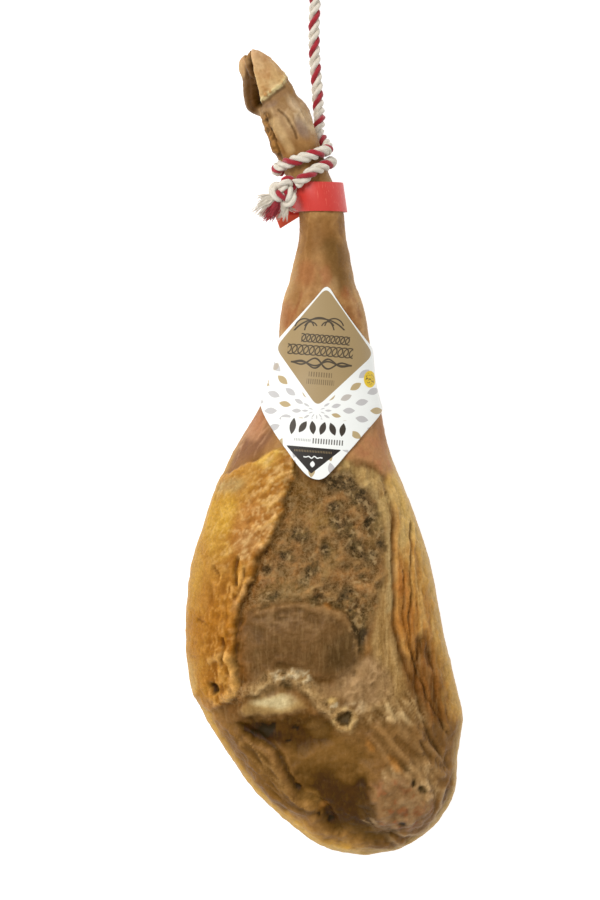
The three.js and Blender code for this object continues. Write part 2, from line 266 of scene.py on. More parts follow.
class Paint:
    """A new material and the few kinds of node that this scene's materials are made of."""

    def __init__(self, name):
        self.material = bpy.data.materials.new(name)
        self.material.use_nodes = True
        self.tree = self.material.node_tree
        self.shader = self.tree.nodes["Principled BSDF"]

    def make(self, kind, **inputs):
        node = self.tree.nodes.new("ShaderNode" + kind)
        for name, value in inputs.items():
            self.put(node.inputs[name.replace("_", " ")], value)
        return node

    def put(self, socket, value):
        if isinstance(value, Wire):
            self.tree.links.new(value.socket, socket)
        else:
            socket.default_value = value

    def set(self, **inputs):
        for name, value in inputs.items():
            self.put(self.shader.inputs[name.replace("_", " ")], value)

    def attribute(self, name):
        node = self.make("Attribute")
        node.attribute_name = name
        return Wire(self.tree, node.outputs["Color"])

    def parts(self, colour):
        node = self.make("SeparateColor", Color=colour)
        return [Wire(self.tree, out) for out in node.outputs[:3]]

    def places(self, stretch=(1, 1, 1)):
        """Object coordinates, squeezed along each axis by its share of stretch."""
        node = self.make("Mapping", Vector=Wire(self.tree, self.make("TexCoord").outputs["Object"]))
        node.inputs["Scale"].default_value = stretch
        return Wire(self.tree, node.outputs[0])

    def noise(self, scale, detail=3.0, roughness=0.55, at=None):
        at = at or self.places()
        node = self.make("TexNoise", Vector=at, Scale=scale, Detail=detail, Roughness=roughness)
        return Wire(self.tree, node.outputs[0])

    def mix(self, share, first, second, how="MIX"):
        node = self.tree.nodes.new("ShaderNodeMix")
        node.data_type = "RGBA"
        node.blend_type = how
        self.put(node.inputs["Factor"], share)
        for socket, value in ((node.inputs[6], first), (node.inputs[7], second)):
            self.put(socket, value if isinstance(value, Wire) else (*value, 1))
        return Wire(self.tree, node.outputs[2])

    def bump(self, height, distance, strength=1.0):
        node = self.make("Bump", Height=height)
        node.inputs["Distance"].default_value = distance * MM
        node.inputs["Strength"].default_value = strength
        self.tree.links.new(node.outputs[0], self.shader.inputs["Normal"])


# ---- the camera ----
def camera():
    data = bpy.data.cameras.new("camera")
    data.sensor_width = SENSOR
    data.lens = SENSOR * (CAMERA_AT[2] - SHANK_HEIGHT) / PICTURE_HEIGHT
    data.clip_start = 0.1
    data.clip_end = 100
    obj = bpy.data.objects.new("camera", data)
    obj.location = Vector(CAMERA_AT) * MM
    bpy.context.scene.collection.objects.link(obj)
    bpy.context.scene.camera = obj


camera()

# ---- the rope ----
STRAND_RADIUS = ROPE_DIAMETER * 0.295
STRAND_OFFSET = ROPE_DIAMETER * 0.28
ROPE_SPACING = 1.5
HAIRS_IN_A_CLUMP = 24
YARN_BUNDLES = [  # their heading in degrees, length, number of clumps, whether they are red, and spread
    (206, 18, 7, False, 0.26), (222, 21, 4, False, 0.14),
    (240, 21, 12, True, 0.26), (274, 16, 7, False, 0.2),
]
STRAND_SIDES = 10


def twisted(name, line, closed=False, turn=0.0):
    """Three strands laid round the line, right-handed. The first strand is the red one."""
    line = evenly(line, ROPE_SPACING)
    if closed:
        line = line[:-1]
    tangents, across, upwards = frames_along(line, closed)
    gone = np.arange(len(line)) * ROPE_SPACING
    lay = ROPE_LAY
    if closed:
        lay = gone[-1] / round(gone[-1] / ROPE_LAY)
    verts, faces, red, turns = [], [], [], []
    for strand in range(3):
        phase = 2 * math.pi * (gone / lay + strand / 3) + turn
        out = np.cos(phase)[:, None] * across + np.sin(phase)[:, None] * upwards
        middle = line + STRAND_OFFSET * out
        swell = STRAND_RADIUS * (1 + 0.03 * np.sin(gone * 1.3 + strand * 2))
        rings = tube_rings(middle, swell, STRAND_SIDES, out, np.cross(tangents, out))
        faces += tube_faces(len(line), STRAND_SIDES, len(verts) * len(line) * STRAND_SIDES, closed)
        verts.append(rings.reshape(-1, 3))
        red.append(np.full(len(line) * STRAND_SIDES, float(strand == 0)))
        around = np.tile(np.arange(STRAND_SIDES) / STRAND_SIDES, len(line))
        turns.append(np.stack([around, np.repeat(gone / lay, STRAND_SIDES)], axis=1))
    verts = np.vstack(verts)
    verts[:, 2] = np.maximum(verts[:, 2], 0)
    obj = new_object(name, verts, faces)
    shade_smooth(obj)
    where = np.vstack(turns)
    wave = 2 * math.pi * (3 * where[:, 0] + 5 * where[:, 1])
    yarn = np.stack([np.concatenate(red), 0.5 + 0.5 * np.sin(wave), 0.5 + 0.5 * np.cos(wave)], axis=1)
    add_values(obj, "strand", yarn)
    return obj


def rope_material():
    paint = Paint("rope_cotton")
    red, yarn, _ = paint.parts(paint.attribute("strand"))
    soil = paint.noise(160, 4)
    cream = paint.mix(soil, linear(206, 192, 168), linear(240, 234, 222))
    crimson = paint.mix(soil, linear(138, 22, 32), linear(186, 46, 58))
    colour = paint.mix(red, cream, crimson)
    hairs = paint.noise(2600, 2, at=paint.places((1, 0.35, 1)))
    # painted shade in the grooves between the yarns
    groove = yarn.below(0.3, 0.5) * 0.35
    paint.set(Base_Color=paint.mix(groove, colour, paint.mix(0.55, colour, (0.05, 0.03, 0.02))))
    paint.set(Roughness=0.92, Sheen_Weight=0.35, Sheen_Roughness=0.5, Specular_IOR_Level=0.2)
    paint.bump(yarn * 0.7 + hairs * 0.6, 0.5)
    return paint.material


def knot_line(middle, size, tilt, tall=1.0):
    """A trefoil, the line that a rope takes in an overhand knot, seen flat and turned by tilt."""
    t = np.linspace(0, 2 * math.pi, 60, endpoint=False)
    x = np.sin(t) + 2 * np.sin(2 * t)
    y = np.cos(t) - 2 * np.cos(2 * t)
    c, s = math.cos(tilt), math.sin(tilt)
    flat = np.column_stack([x * c - y * s, x * s + y * c])
    line = np.column_stack([flat * size / 2.9 * [1, tall], -np.sin(3 * t) * size * 0.45]) + middle
    return np.vstack([line, line[:1]])


def fibre_mesh(name, lines, radius, red):
    """Thin hairs along the lines, each tapering to its end."""
    verts, faces, reds, first = [], [], [], 0
    for line, is_red in zip(lines, red):
        _, across, upwards = frames_along(line)
        taper = radius * np.linspace(1, 0.45, len(line))
        rings = tube_rings(line, taper, 4, across, upwards)
        faces += tube_faces(len(line), 4, first)
        verts.append(rings.reshape(-1, 3))
        reds.append(np.full(len(line) * 4, float(is_red)))
        first += len(line) * 4
    obj = new_object(name, np.vstack(verts), faces)
    shade_smooth(obj)
    reds = np.concatenate(reds)
    add_values(obj, "strand", np.stack([reds, np.ones_like(reds), np.ones_like(reds)], axis=1))
    return obj


def frayed_end():
    """The rope's end, combed out below and to the left of its knot: white yarns, then red ones."""
    rng = np.random.default_rng(7)
    lines, red = [], []
    t = np.linspace(0, 1, 8)[:, None]
    for degrees, length, clumps, is_red, spread in YARN_BUNDLES:
        for _ in range(clumps):
            heading = math.radians(degrees) + rng.normal(0, spread)
            rise = rng.normal(-0.2, 0.16)
            bend = rng.normal(0, 3.5, 3)
            reach = length * rng.uniform(0.8, 1.08)
            out = np.array([math.cos(math.radians(degrees)), math.sin(math.radians(degrees)), -0.1])
            root = np.array(KNOT_AT) + out * 7 + rng.normal(0, 1.6, 3)
            for _ in range(HAIRS_IN_A_CLUMP):
                angle = heading + rng.normal(0, 0.1)
                way = np.array([math.cos(angle), math.sin(angle), rise + rng.normal(0, 0.08)])
                wobble = np.sin(t * rng.uniform(4, 9) + rng.uniform(0, 6)) * rng.normal(0, 0.5, 3)
                start = root + rng.normal(0, 0.8, 3)
                lines.append(start + way * reach * rng.uniform(0.85, 1.1) * t + bend * t**2 + wobble * t)
                red.append(is_red)
    return fibre_mesh("frayed_yarns", lines, 0.4, red)


def hanging_loop_line():
    angles = np.linspace(-math.pi / 2 + LOOP_OPENING, 1.5 * math.pi - LOOP_OPENING, 40)
    taper = 1 - 0.25 * np.maximum(0, -np.sin(angles))
    x = LOOP_SIZE[0] / 2 * np.cos(angles) * taper
    y = LOOP_SIZE[1] / 2 * np.sin(angles)
    return np.column_stack([x, y, np.zeros_like(x)]) + LOOP_MIDDLE


def rope():
    material = rope_material()
    route = catmull(ROPE_ROUTE, 10)
    main = twisted("hanging_rope", route, turn=1.4)
    knot = twisted("noose_knot", knot_line(KNOT_AT, 9.4, 0.4, 1.18), closed=True, turn=2.2)
    fray = frayed_end()
    end_knot = twisted("loop_end_knot", knot_line(LOOP_KNOT_AT, 8.2, 0), closed=True)
    loop = twisted("rope_loop", hanging_loop_line())
    stretches = {
        "rope": main, "rope_knot": knot, "frayed_end": fray, "loop_knot": end_knot, "hanging_loop": loop,
    }
    for node, obj in stretches.items():
        obj.data.materials.append(material)
        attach(obj, "root")
        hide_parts(node)


rope()

# ---- the ham ----
VOXEL = 2.2
FOOT_FROM = 284  # from here to the toes the mesh is twice as fine
LEFT_TOE_BULGE = 3.4
TOE_LEAN = 4  # how far the tips of the toes lean to the left
HOLLOW_ROUNDS = 12  # how wide the surroundings are that a hollow is compared with, in steps along the mesh
HOLLOW_SHADE = 0.22


def ham_mesh():
    """The solid model's ham, made again as an even mesh and smoothed, fine enough to carve."""
    obj = copy_of("ham", "cured_leg")
    obj.modifiers.new("weld", "WELD").merge_threshold = WELD_METRES
    remesh = obj.modifiers.new("remesh", "REMESH")
    remesh.mode = "VOXEL"
    remesh.voxel_size = VOXEL * MM
    soften = obj.modifiers.new("soften", "SMOOTH")
    soften.factor = 0.6
    soften.iterations = 7
    ready = use_modifiers(obj)
    mesh = bmesh.new()
    mesh.from_mesh(ready)
    foot = [edge for edge in mesh.edges if min(vert.co.y for vert in edge.verts) > FOOT_FROM * MM]
    bmesh.ops.subdivide_edges(mesh, edges=foot, cuts=1, use_grid_fill=True)
    toes = [vert for vert in mesh.verts if vert.co.y > FOOT_FROM * MM]
    every_axis = {"use_axis_" + axis: True for axis in "xyz"}
    for _ in range(2):
        bmesh.ops.smooth_vert(mesh, verts=toes, factor=0.5, **every_axis)
    mesh.to_mesh(ready)
    mesh.free()
    shade_smooth(obj)
    return obj


FATTY, MOULDY, FIBROUS = range(3)
GLOSSY, CRUSTY, BONY = range(3)


class Carving:
    """The ham's vertices in millimetres, with the height and colour that each one is given.
    The functions that lay its parts call it c."""

    def __init__(self, obj):
        count = len(obj.data.vertices)
        self.obj = obj
        self.points = np.empty(count * 3)
        obj.data.vertices.foreach_get("co", self.points)
        self.points = self.points.reshape(-1, 3) / MM
        self.normals = np.empty(count * 3)
        obj.data.vertices.foreach_get("normal", self.normals)
        self.normals = self.normals.reshape(-1, 3)
        self.height = np.zeros(count)
        self.colour = np.zeros((count, 3))
        self.grain = np.zeros((count, 3))  # FATTY, MOULDY and FIBROUS
        self.gloss = np.zeros((count, 3))  # GLOSSY, CRUSTY and BONY
        self.front = smooth(-0.05, 0.35, self.normals[:, 2])
        wander = np.stack([fractal(self.points, 22, 40), fractal(self.points, 22, 50)], axis=1)
        tremble = np.stack([fractal(self.points, 6, 60), fractal(self.points, 6, 70)], axis=1)
        large = 1 - 0.75 * smooth(240, 290, self.points[:, 1:2])
        self.calm = self.points[:, :2] + 1.6 * wander * large
        self.flat = self.points[:, :2] + (3.2 * wander + 1.8 * tremble) * large

    def away(self, line, closed=False, here=None):
        """How far each vertex is from the line, seen from above."""
        line = np.array(line, float) if len(line) < 3 else catmull(line, 5, closed)
        if closed:
            line = np.vstack([line, line[:1]])
        here = self.flat if here is None else here
        nearest = np.full(len(here), 1e9)
        for a, b in zip(line, line[1:]):
            span = b - a
            share = np.clip((here - a) @ span / max(span @ span, 1e-9), 0, 1)
            nearest = np.minimum(nearest, np.linalg.norm(here - a - share[:, None] * span, axis=1))
        return nearest

    def within(self, outline, soft, plain=False):
        """1 inside the closed outline and 0 outside it, with an edge this soft."""
        line = catmull(outline, 5, closed=True)
        here = self.points[:, :2] if plain else self.flat
        inside = np.zeros(len(here), bool)
        for (ax, ay), (bx, by) in zip(line, np.roll(line, -1, axis=0)):
            crosses = (ay > here[:, 1]) != (by > here[:, 1])
            at = ax + (here[:, 1] - ay) * (bx - ax) / (by - ay if by != ay else 1e-9)
            inside ^= crosses & (here[:, 0] < at)
        signed = self.away(outline, closed=True, here=here) * np.where(inside, 1, -1)
        return smooth(-soft, soft, signed) * self.front

    def stroke(self, line, width, here=None):
        return (1 - smooth(width * 0.25, width, self.away(line, here=here))) * self.front

    def spot(self, middle, across, upwards=None, turn=0.0):
        """A soft-edged oval."""
        upwards = upwards or across
        out = self.flat - middle
        c, s = math.cos(turn), math.sin(turn)
        u = (out[:, 0] * c + out[:, 1] * s) / across
        v = (-out[:, 0] * s + out[:, 1] * c) / upwards
        return (1 - smooth(0.45, 1.3, np.hypot(u, v))) * self.front

    def noise(self, size, seed, octaves=3, long=1.0, turn=0.0):
        """Smooth noise, drawn out this many times as long in the direction it is turned to, in degrees."""
        c, s = math.cos(math.radians(turn)), math.sin(math.radians(turn))
        x, y, z = self.points.T
        turned = np.column_stack([(x * c + y * s) / long, y * c - x * s, z])
        return fractal(turned, size, seed, octaves)

    def paint(self, mask, *seen):
        share = np.clip(mask, 0, 1)[:, None]
        self.colour = self.colour * (1 - share) + linear(*seen) * share

    def dab(self, strength, seen, *spot):
        """One spot of a colour."""
        self.paint(self.spot(*spot) * strength, *seen)

    def more(self, table, kind, mask):
        """At least this much of one kind of grain or gloss."""
        table[:, kind] = np.maximum(table[:, kind], mask)

    def raise_by(self, mask, amount):
        self.height += mask * amount

    def wrinkle(self, mask, size, seed, long, turn, height, light, dark):
        """Thin ridges that wander in one direction, with painted highlight on them and painted shade in the
        hollows between them.
        """
        lines = np.abs(self.noise(size, seed, 3, long, turn))
        ridge = np.clip(1 - lines / 0.2, 0, 1)
        hollow = smooth(0.18, 0.5, lines)
        self.raise_by(mask * (ridge - 0.7 * hollow), height)
        self.paint(mask * ridge * 0.6, *light)
        self.paint(mask * hollow * 0.6, *dark)

    def blotch(self, mask, size, seed, strength, *seen):
        """The colour in patches about this large."""
        self.paint(mask * smooth(0, 0.5, self.noise(size, seed)) * strength, *seen)

    def fold(self, line, depth, width, *seen):
        """A crease painted darker along its line, as painted shade, with a low rounded lip along its right
        side.
        """
        lip = [(x + width * 2.2, y) for x, y in line]
        self.raise_by(self.stroke(line, width * 2.2, self.calm), -depth)
        self.raise_by(self.stroke(lip, width * 2, self.calm), depth * 0.4)
        self.paint(self.stroke(line, width * 1.4, self.calm) * 0.55, *seen)

    def shade_hollows(self, rounds, strength):
        """Painted shade and light: darkens what lies below its surroundings and lightens what stands above
        them.
        """
        edges = np.empty(len(self.obj.data.edges) * 2, int)
        self.obj.data.edges.foreach_get("vertices", edges)
        first, second = edges.reshape(-1, 2).T
        count = len(self.height)
        shared = np.bincount(edges, minlength=count)
        level = self.height
        for _ in range(rounds):
            total = np.bincount(first, level[second], count) + np.bincount(second, level[first], count)
            level = (level + total / shared) / 2
        self.colour *= np.clip(1 + strength * (self.height - level), 0.45, 1.4)[:, None]


# Outlines and lines on the ham, as X and Y from above. A spot is its middle, how far it reaches across and
# upwards, and how far it is turned. A fold is its line, its depth and its width.
FAT_EDGE = [
    (-31, 4), (-30, -16), (-33, -29), (-39, -45), (-43, -58), (-50, -73), (-57, -87), (-65, -97),
    (-68, -108), (-71, -121), (-77, -137), (-84, -152), (-88, -171), (-87, -195), (-84, -212), (-88, -228),
]
FAT = FAT_EDGE + [
    (-104, -240), (-122, -238), (-150, -230), (-155, -140), (-150, -60), (-115, -28), (-97, -21),
    (-80, -14), (-64, -8), (-50, -1),
]
FACE = [
    (-34, 4), (10, -8), (35, -9), (57, -20), (79, -50), (95, -83), (104, -110), (112, -150), (122, -200),
    (131, -245), (128, -290), (122, -330), (100, -362), (70, -381), (30, -384), (-10, -370), (-45, -343),
    (-75, -312), (-100, -272), (-120, -232), (-90, -200), (-80, -150), (-60, -90), (-40, -40),
]
CRUST = [
    (-34, -16), (-8, -34), (8, -12), (36, -14), (52, -44), (57, -90), (54, -140), (36, -162), (22, -150),
    (0, -144), (-36, -140), (-66, -148), (-82, -156), (-70, -122), (-58, -90), (-42, -58),
]
MUSCLE = [
    (-84, -166), (-70, -154), (-58, -149), (-35, -144), (-8, -146), (4, -151), (18, -158), (27, -173),
    (30, -190), (20, -208), (-3, -214), (-30, -208), (-50, -207), (-68, -214), (-82, -210),
]
MUSCLE_MIDDLE = (-28, -178)
MOULD = [
    ((-24, -76), 9, 7, 0.3), ((-13, -108), 8, 6, 1.2), ((-9, -139), 7, 5, 0.5), ((-57, -108), 6, 5, 0.9),
    ((-39, -97), 8, 4, 2.6), ((-51, -136), 8, 5, 0.2), ((15, -26), 13, 10, 0.4), ((34, -40), 13, 9, 2.2),
    ((46, -62), 12, 9, 2.0), ((44, -70), 8, 8, 0), ((11, -70), 5, 11, 0.2), ((22, -72), 5, 13, 0.3),
    ((53, -83), 5, 9, 0.2), ((44, -98), 7, 6, 0), ((33, -119), 6, 5, 0), ((23, -142), 14, 11, 1.9),
    ((5, -141), 6, 5, 0), ((31, -168), 8, 17, 0.1), ((30, -92), 6, 9, 0.5), ((-2, -92), 5, 7, 0.4),
    ((8, -50), 7, 5, 0.5), ((-20, -120), 6, 4, 0.2),
]
PALE_PATCH = [
    (20, -206), (34, -194), (50, -196), (60, -212), (60, -232), (42, -242), (26, -240), (14, -230),
    (6, -220),
]
STRIP = [
    (26, -13), (41, -18), (55, -30), (66, -52), (64, -90), (64, -137), (63, -170), (70, -200), (74, -232),
    (52, -232), (48, -200), (46, -170), (53, -137), (56, -110), (56, -82), (52, -52), (38, -28),
]
SIDE = [
    (60, -28), (80, -50), (100, -110), (112, -160), (122, -205), (131, -250), (122, -262), (92, -215),
    (76, -190), (66, -150), (64, -100), (66, -56),
]
RIGHT_BROWN = [
    (92, -172), (106, -184), (119, -235), (121, -265), (117, -292), (101, -277), (87, -242), (83, -206),
]
RIGHT_FOLDS = [
    ([(59, -38), (65, -56), (64, -90), (65, -140), (68, -175), (80, -213)], 2.0, 1.6),
    (
        [(82, -66), (83, -92), (83, -112), (82, -142), (81, -170), (87, -202), (104, -240), (120, -266)],
        1.8, 1.0,
    ),
    ([(92, -178), (87, -213), (92, -243), (101, -270), (118, -297)], 2.2, 1.8),
    ([(75, -112), (75, -140), (77, -168), (84, -196)], 1.4, 1.1),
    ([(104, -190), (108, -225), (116, -262)], 1.2, 1.2),
]
BONE_RIDGE = [
    (-90, -228), (-77, -223), (-65, -221), (-55, -215), (-45, -212), (-31, -212), (-20, -217), (-12, -226),
    (-3, -235), (6, -244),
]
BONE_HOLE = (17, -252)
IVORY = [
    (-84, -242), (-77, -235), (-66, -230), (-52, -227), (-41, -226), (-29, -231), (-18, -240), (-26, -243),
    (-45, -244), (-62, -247), (-76, -248),
]
UNDER_BONE = [
    (-86, -256), (-62, -252), (-40, -249), (-20, -246), (-2, -252), (8, -264), (-6, -278), (-38, -281),
    (-66, -273),
]
LOBE = [
    (-94, -262), (-80, -266), (-66, -275), (-49, -293), (-40, -312), (-12, -338), (-24, -343), (-54, -326),
    (-76, -292),
]
LOBE_EDGE = [(-80, -262), (-62, -271), (-46, -286), (-36, -306), (-24, -322), (-4, -340), (14, -364)]
BASIN = [
    (-30, -262), (-6, -262), (24, -270), (44, -288), (40, -310), (44, -350), (62, -366), (34, -374),
    (6, -364), (-14, -335), (-30, -305), (-40, -284),
]
MOUND = (68, -333)
MOUND_LIP = [(44, -346), (58, -358), (77, -364), (98, -356), (110, -336), (112, -318)]
FIBRE_FAN = [(36, -246), (80, -228), (100, -262), (118, -296), (96, -304), (70, -300), (44, -276)]
STREAKS = [
    [(50, -256), (66, -280), (98, -316)], [(60, -250), (80, -274), (110, -304)],
    [(44, -266), (60, -292), (78, -306)], [(72, -246), (92, -272), (112, -290)],
    [(58, -238), (70, -256), (90, -282)],
]
GASHES = [
    ([(-83, -100), (-85, -112), (-84, -124)], 3.0, 1.7), ([(-118, -157), (-111, -160)], 1.2, 1.2),
    ([(-97, -176), (-95, -188), (-96, -200)], 1.8, 1.3), ([(-104, -107), (-99, -115)], 1.4, 1.2),
    ([(-76, -108), (-78, -122), (-84, -136)], 1.6, 1.2),
]
FAT_TONES = [
    ((-88, -32), 16, 8, 0.3, (172, 148, 98)), ((-52, -6), 14, 8, 0.5, (214, 176, 84)),
    ((-100, -62), 17, 26, -0.3, (206, 160, 58)), ((-54, -30), 9, 12, 0, (182, 122, 50)),
    ((-70, -66), 18, 26, -0.5, (188, 128, 70)), ((-72, -86), 11, 16, -0.6, (206, 166, 112)),
    ((-120, -104), 9, 36, -0.1, (188, 142, 62)), ((-101, -84), 10, 18, 0.2, (190, 144, 60)),
    ((-98, -140), 20, 24, 0, (168, 108, 44)), ((-102, -172), 24, 30, 0, (160, 98, 34)),
    ((-104, -216), 20, 18, 0, (170, 112, 44)), ((-126, -214), 7, 22, 0, (208, 172, 104)),
    ((-106, -242), 20, 8, -0.3, (186, 140, 88)),
]
LOW_RIM = [
    (-126, -226), (-112, -258), (-98, -283), (-81, -306), (-61, -330), (-37, -352), (-5, -374), (30, -385),
]
LABEL_ZONE = [(2, 165), (50, 100), (62, 45), (52, 20), (-8, -32), (-62, 25), (-66, 50), (-52, 100)]
DARK_SPOTS = [
    ((-58, -264), 7), ((-30, -262), 3), ((-38, -274), 2.6), ((-28, -316), 3), ((3, -352), 2.4),
    ((-9, -345), 2), ((-52, -258), 4), ((90, -318), 3.5), ((70, -350), 3.5), ((82, -314), 3),
]
LEFT_SHADE = [(-98, -20), (-84, -10), (-57, 3), (-48, 24), (-74, 16), (-94, -2)]
SHANK_SHADE = [(-3, 198), (9, 204), (19, 188), (25, 160), (12, 152), (0, 181)]
SKIN_BLUSH = [
    ((-19, 170), 9), ((0, 166), 6), ((20, 150), 5), ((-38, 130), 9), ((54, 14), 14), ((58, 44), 10),
    ((44, -2), 10), ((-66, 40), 14),
]
SKIN_VEINS = [
    [(12, 172), (19, 156), (28, 142), (33, 128)], [(22, 152), (16, 140), (24, 128)],
    [(-22, 152), (-32, 132), (-44, 114)], [(-10, 178), (0, 164), (6, 168)], [(40, 6), (58, 2), (70, -18)],
    [(-58, 36), (-70, 18), (-78, 2)], [(6, 236), (10, 222), (20, 206)],
    [(-10, 226), (-14, 210), (-12, 196)],
]
RIGHT_HORN = [
    (-36, 362), (-40, 352), (-46, 346), (-53, 341), (-58, 337), (-63, 333), (-66, 345), (-68, 360),
    (-69, 378), (-68, 392), (-56, 392), (-42, 376),
]
LEFT_HORN = [(-90, 386), (-74, 386), (-73, 376), (-77, 364), (-82, 358), (-90, 362)]
INNER_TOE = [(-80, 380), (-68, 384), (-64, 350), (-62, 328), (-72, 322), (-78, 340), (-80, 360)]
CLEFT = [(-70, 388), (-70, 372), (-69, 356), (-66.5, 342), (-64, 330)]
SKIN_SLIT = [(-45, 325), (-38, 319.5), (-33, 312), (-28.6, 304), (-27, 298)]
DEWCLAW = [(-61, 320), (-53, 323), (-47, 310), (-44, 294), (-43, 281), (-52, 285), (-58, 300), (-62, 312)]
DEWCLAW_FOLD = [(-57, 322), (-51, 306), (-46, 292), (-42, 279)]


def lay_skin(c):
    """The outer skin: the shank and foot, and the sides and back of the leg."""
    y = c.points[:, 1]
    every = np.ones(len(y))
    c.paint(every, 150, 104, 58)
    c.paint(smooth(-0.2, 0.6, c.noise(45, 1)) * 0.8, 170, 124, 74)
    c.paint(smooth(0.1, 0.7, -c.noise(38, 3)) * 0.7, 122, 80, 42)
    shank = smooth(-10, 25, y) * (1 - smooth(165, 205, y))
    c.paint(shank * 0.7, 170, 126, 82)
    for middle, across in (((29, 136), 8), ((6, 158), 8), ((42, 112), 8), ((44, 24), 9)):
        c.dab(0.6, (204, 164, 116), middle, across, across * 1.4)
    for vein in SKIN_VEINS:
        c.paint(c.stroke(vein, 2.6) * smooth(-0.6, 0.2, c.noise(12, 29)) * 0.5, 134, 74, 48)
    # painted rim light: the steep sides of the shank and leg are painted paler, as the glow at their edges
    painted_rim_light = smooth(0.75, 0.35, c.normals[:, 2]) * smooth(60, 100, y) * (1 - smooth(280, 300, y))
    c.paint(painted_rim_light * 0.7, 200, 162, 110)
    c.blotch(shank, 26, 4, 0.5, 146, 94, 58)
    c.blotch(shank, 14, 9, 0.5, 184, 146, 104)
    upper = smooth(165, 205, y) * (1 - smooth(290, 310, y))
    c.paint(upper * 0.85, 154, 112, 68)
    c.blotch(upper, 22, 5, 0.6, 168, 130, 84)
    c.blotch(upper, 12, 6, 0.5, 118, 80, 46)
    c.wrinkle(every * 0.5, 15, 7, 2.6, 80, 0.5, (178, 134, 86), (128, 86, 48))
    c.paint(c.within(LEFT_SHADE, 7) * 0.7, 122, 84, 66)
    c.wrinkle(c.spot((-74, 16), 18, 30, -0.6), 8, 27, 4, 50, 0.3, (196, 152, 116), (134, 92, 68))
    c.dab(0.7, (196, 146, 108), (-68, 26), 9, 15, -0.5)
    c.paint(c.within(SHANK_SHADE, 8) * 0.7, 98, 72, 42)
    for middle, across in SKIN_BLUSH:
        c.dab(0.45, (150, 84, 52), middle, across, across * 1.6)
    right = c.stroke([(34, 4), (58, -14), (78, -42), (96, -82)], 26)
    c.paint(right * 0.7, 184, 136, 94)
    c.blotch(right, 10, 9, 0.5, 172, 112, 78)
    c.raise_by(c.noise(9, 2) * (1 - smooth(200, 230, y)), 0.5)
    c.raise_by(c.noise(3.5, 8, 2, 0.5, 90), 0.15)


def lay_lean(c):
    """The trimmed face: cured lean, crusty and mouldy above, with a smooth muscle below that."""
    face = c.within(FACE, 4)
    c.paint(face, 116, 80, 46)
    c.blotch(face, 34, 11, 0.8, 138, 96, 54)
    c.blotch(face, 30, 10, 0.7, 96, 68, 42)
    c.raise_by(face, -2.0)
    c.raise_by(face * c.noise(13, 12), 1.6)
    c.raise_by(face * c.noise(5, 13), 0.6)
    c.grain[:, FIBROUS] = face * 0.4

    crust = c.within(CRUST, 8)
    c.paint(crust * 0.7, 112, 82, 50)
    c.wrinkle(crust, 21, 14, 1.8, -30, 1.8, (148, 112, 70), (88, 66, 42))
    c.wrinkle(crust * 0.9, 11, 15, 1.7, 30, 1.1, (160, 122, 76), (88, 66, 44))
    c.blotch(crust, 13, 16, 0.4, 146, 98, 58)
    c.blotch(crust, 26, 24, 0.6, 126, 100, 62)
    c.blotch(crust, 9, 17, 0.5, 88, 66, 44)
    c.blotch(crust, 7, 30, 0.5, 164, 116, 70)
    c.dab(0.5, (112, 78, 38), (-22, -38), 20, 24)
    c.paint(c.spot((-54, -118), 14, 24, -0.4) * smooth(-0.3, 0.3, c.noise(10, 26)) * 0.6, 152, 104, 66)
    c.paint(c.spot((-14, -66), 26, 14, 0.4) * smooth(-0.2, 0.4, c.noise(9, 28)) * 0.6, 146, 112, 62)
    c.gloss[:, CRUSTY] = crust * 0.8
    broken = smooth(-0.5, 0.1, c.noise(8, 20))
    for middle, across, upwards, turn in MOULD:
        patch = c.spot(middle, across * 1.2, upwards * 1.2, turn)
        c.paint(patch * broken * 0.85, 60, 50, 40)
        c.raise_by(patch, -0.9)
        c.more(c.grain, MOULDY, patch)
    c.wrinkle(c.grain[:, MOULDY] * 0.8, 9, 21, 1.7, 120, 0.9, (146, 118, 72), (56, 47, 38))
    c.dab(0.8, (178, 112, 46), (1, -145), 4, 6, 0.6)

    muscle = c.within(MUSCLE, 7)
    c.paint(muscle * 0.95, 108, 78, 49)
    c.blotch(muscle, 24, 18, 0.6, 128, 94, 60)
    c.blotch(muscle, 16, 19, 0.4, 92, 65, 42)
    furrowed = muscle * smooth(-190, -150, c.points[:, 1])
    c.wrinkle(furrowed, 11, 22, 3, -10, 0.8, (140, 108, 74), (100, 74, 50))
    # painted shadow at the muscle's lower right, beside its groove
    c.dab(0.75, (78, 58, 38), (16, -190), 24, 18, 0.9)
    dome = 1 - smooth(0.2, 1.2, np.hypot(*((c.flat - MUSCLE_MIDDLE) / (60, 38)).T))
    c.raise_by(dome * c.front, 5.0)
    c.more(c.gloss, GLOSSY, muscle * 0.4)
    c.gloss[:, CRUSTY] *= 1 - 0.8 * muscle
    rim = [(-62, -152), (-35, -145), (-8, -147), (8, -153), (19, -160), (27, -175), (30, -190)]
    c.raise_by(c.stroke(rim, 5), 1.8)
    c.paint(c.stroke(rim, 3) * smooth(-0.3, 0.3, c.noise(10, 23)) * 0.45, 148, 114, 74)
    c.raise_by(c.stroke([(x + 5, y + 6) for x, y in rim], 5), -1.8)
    c.raise_by(c.stroke([(34, -192), (20, -212), (-6, -219), (-44, -203)], 9), -3.0)


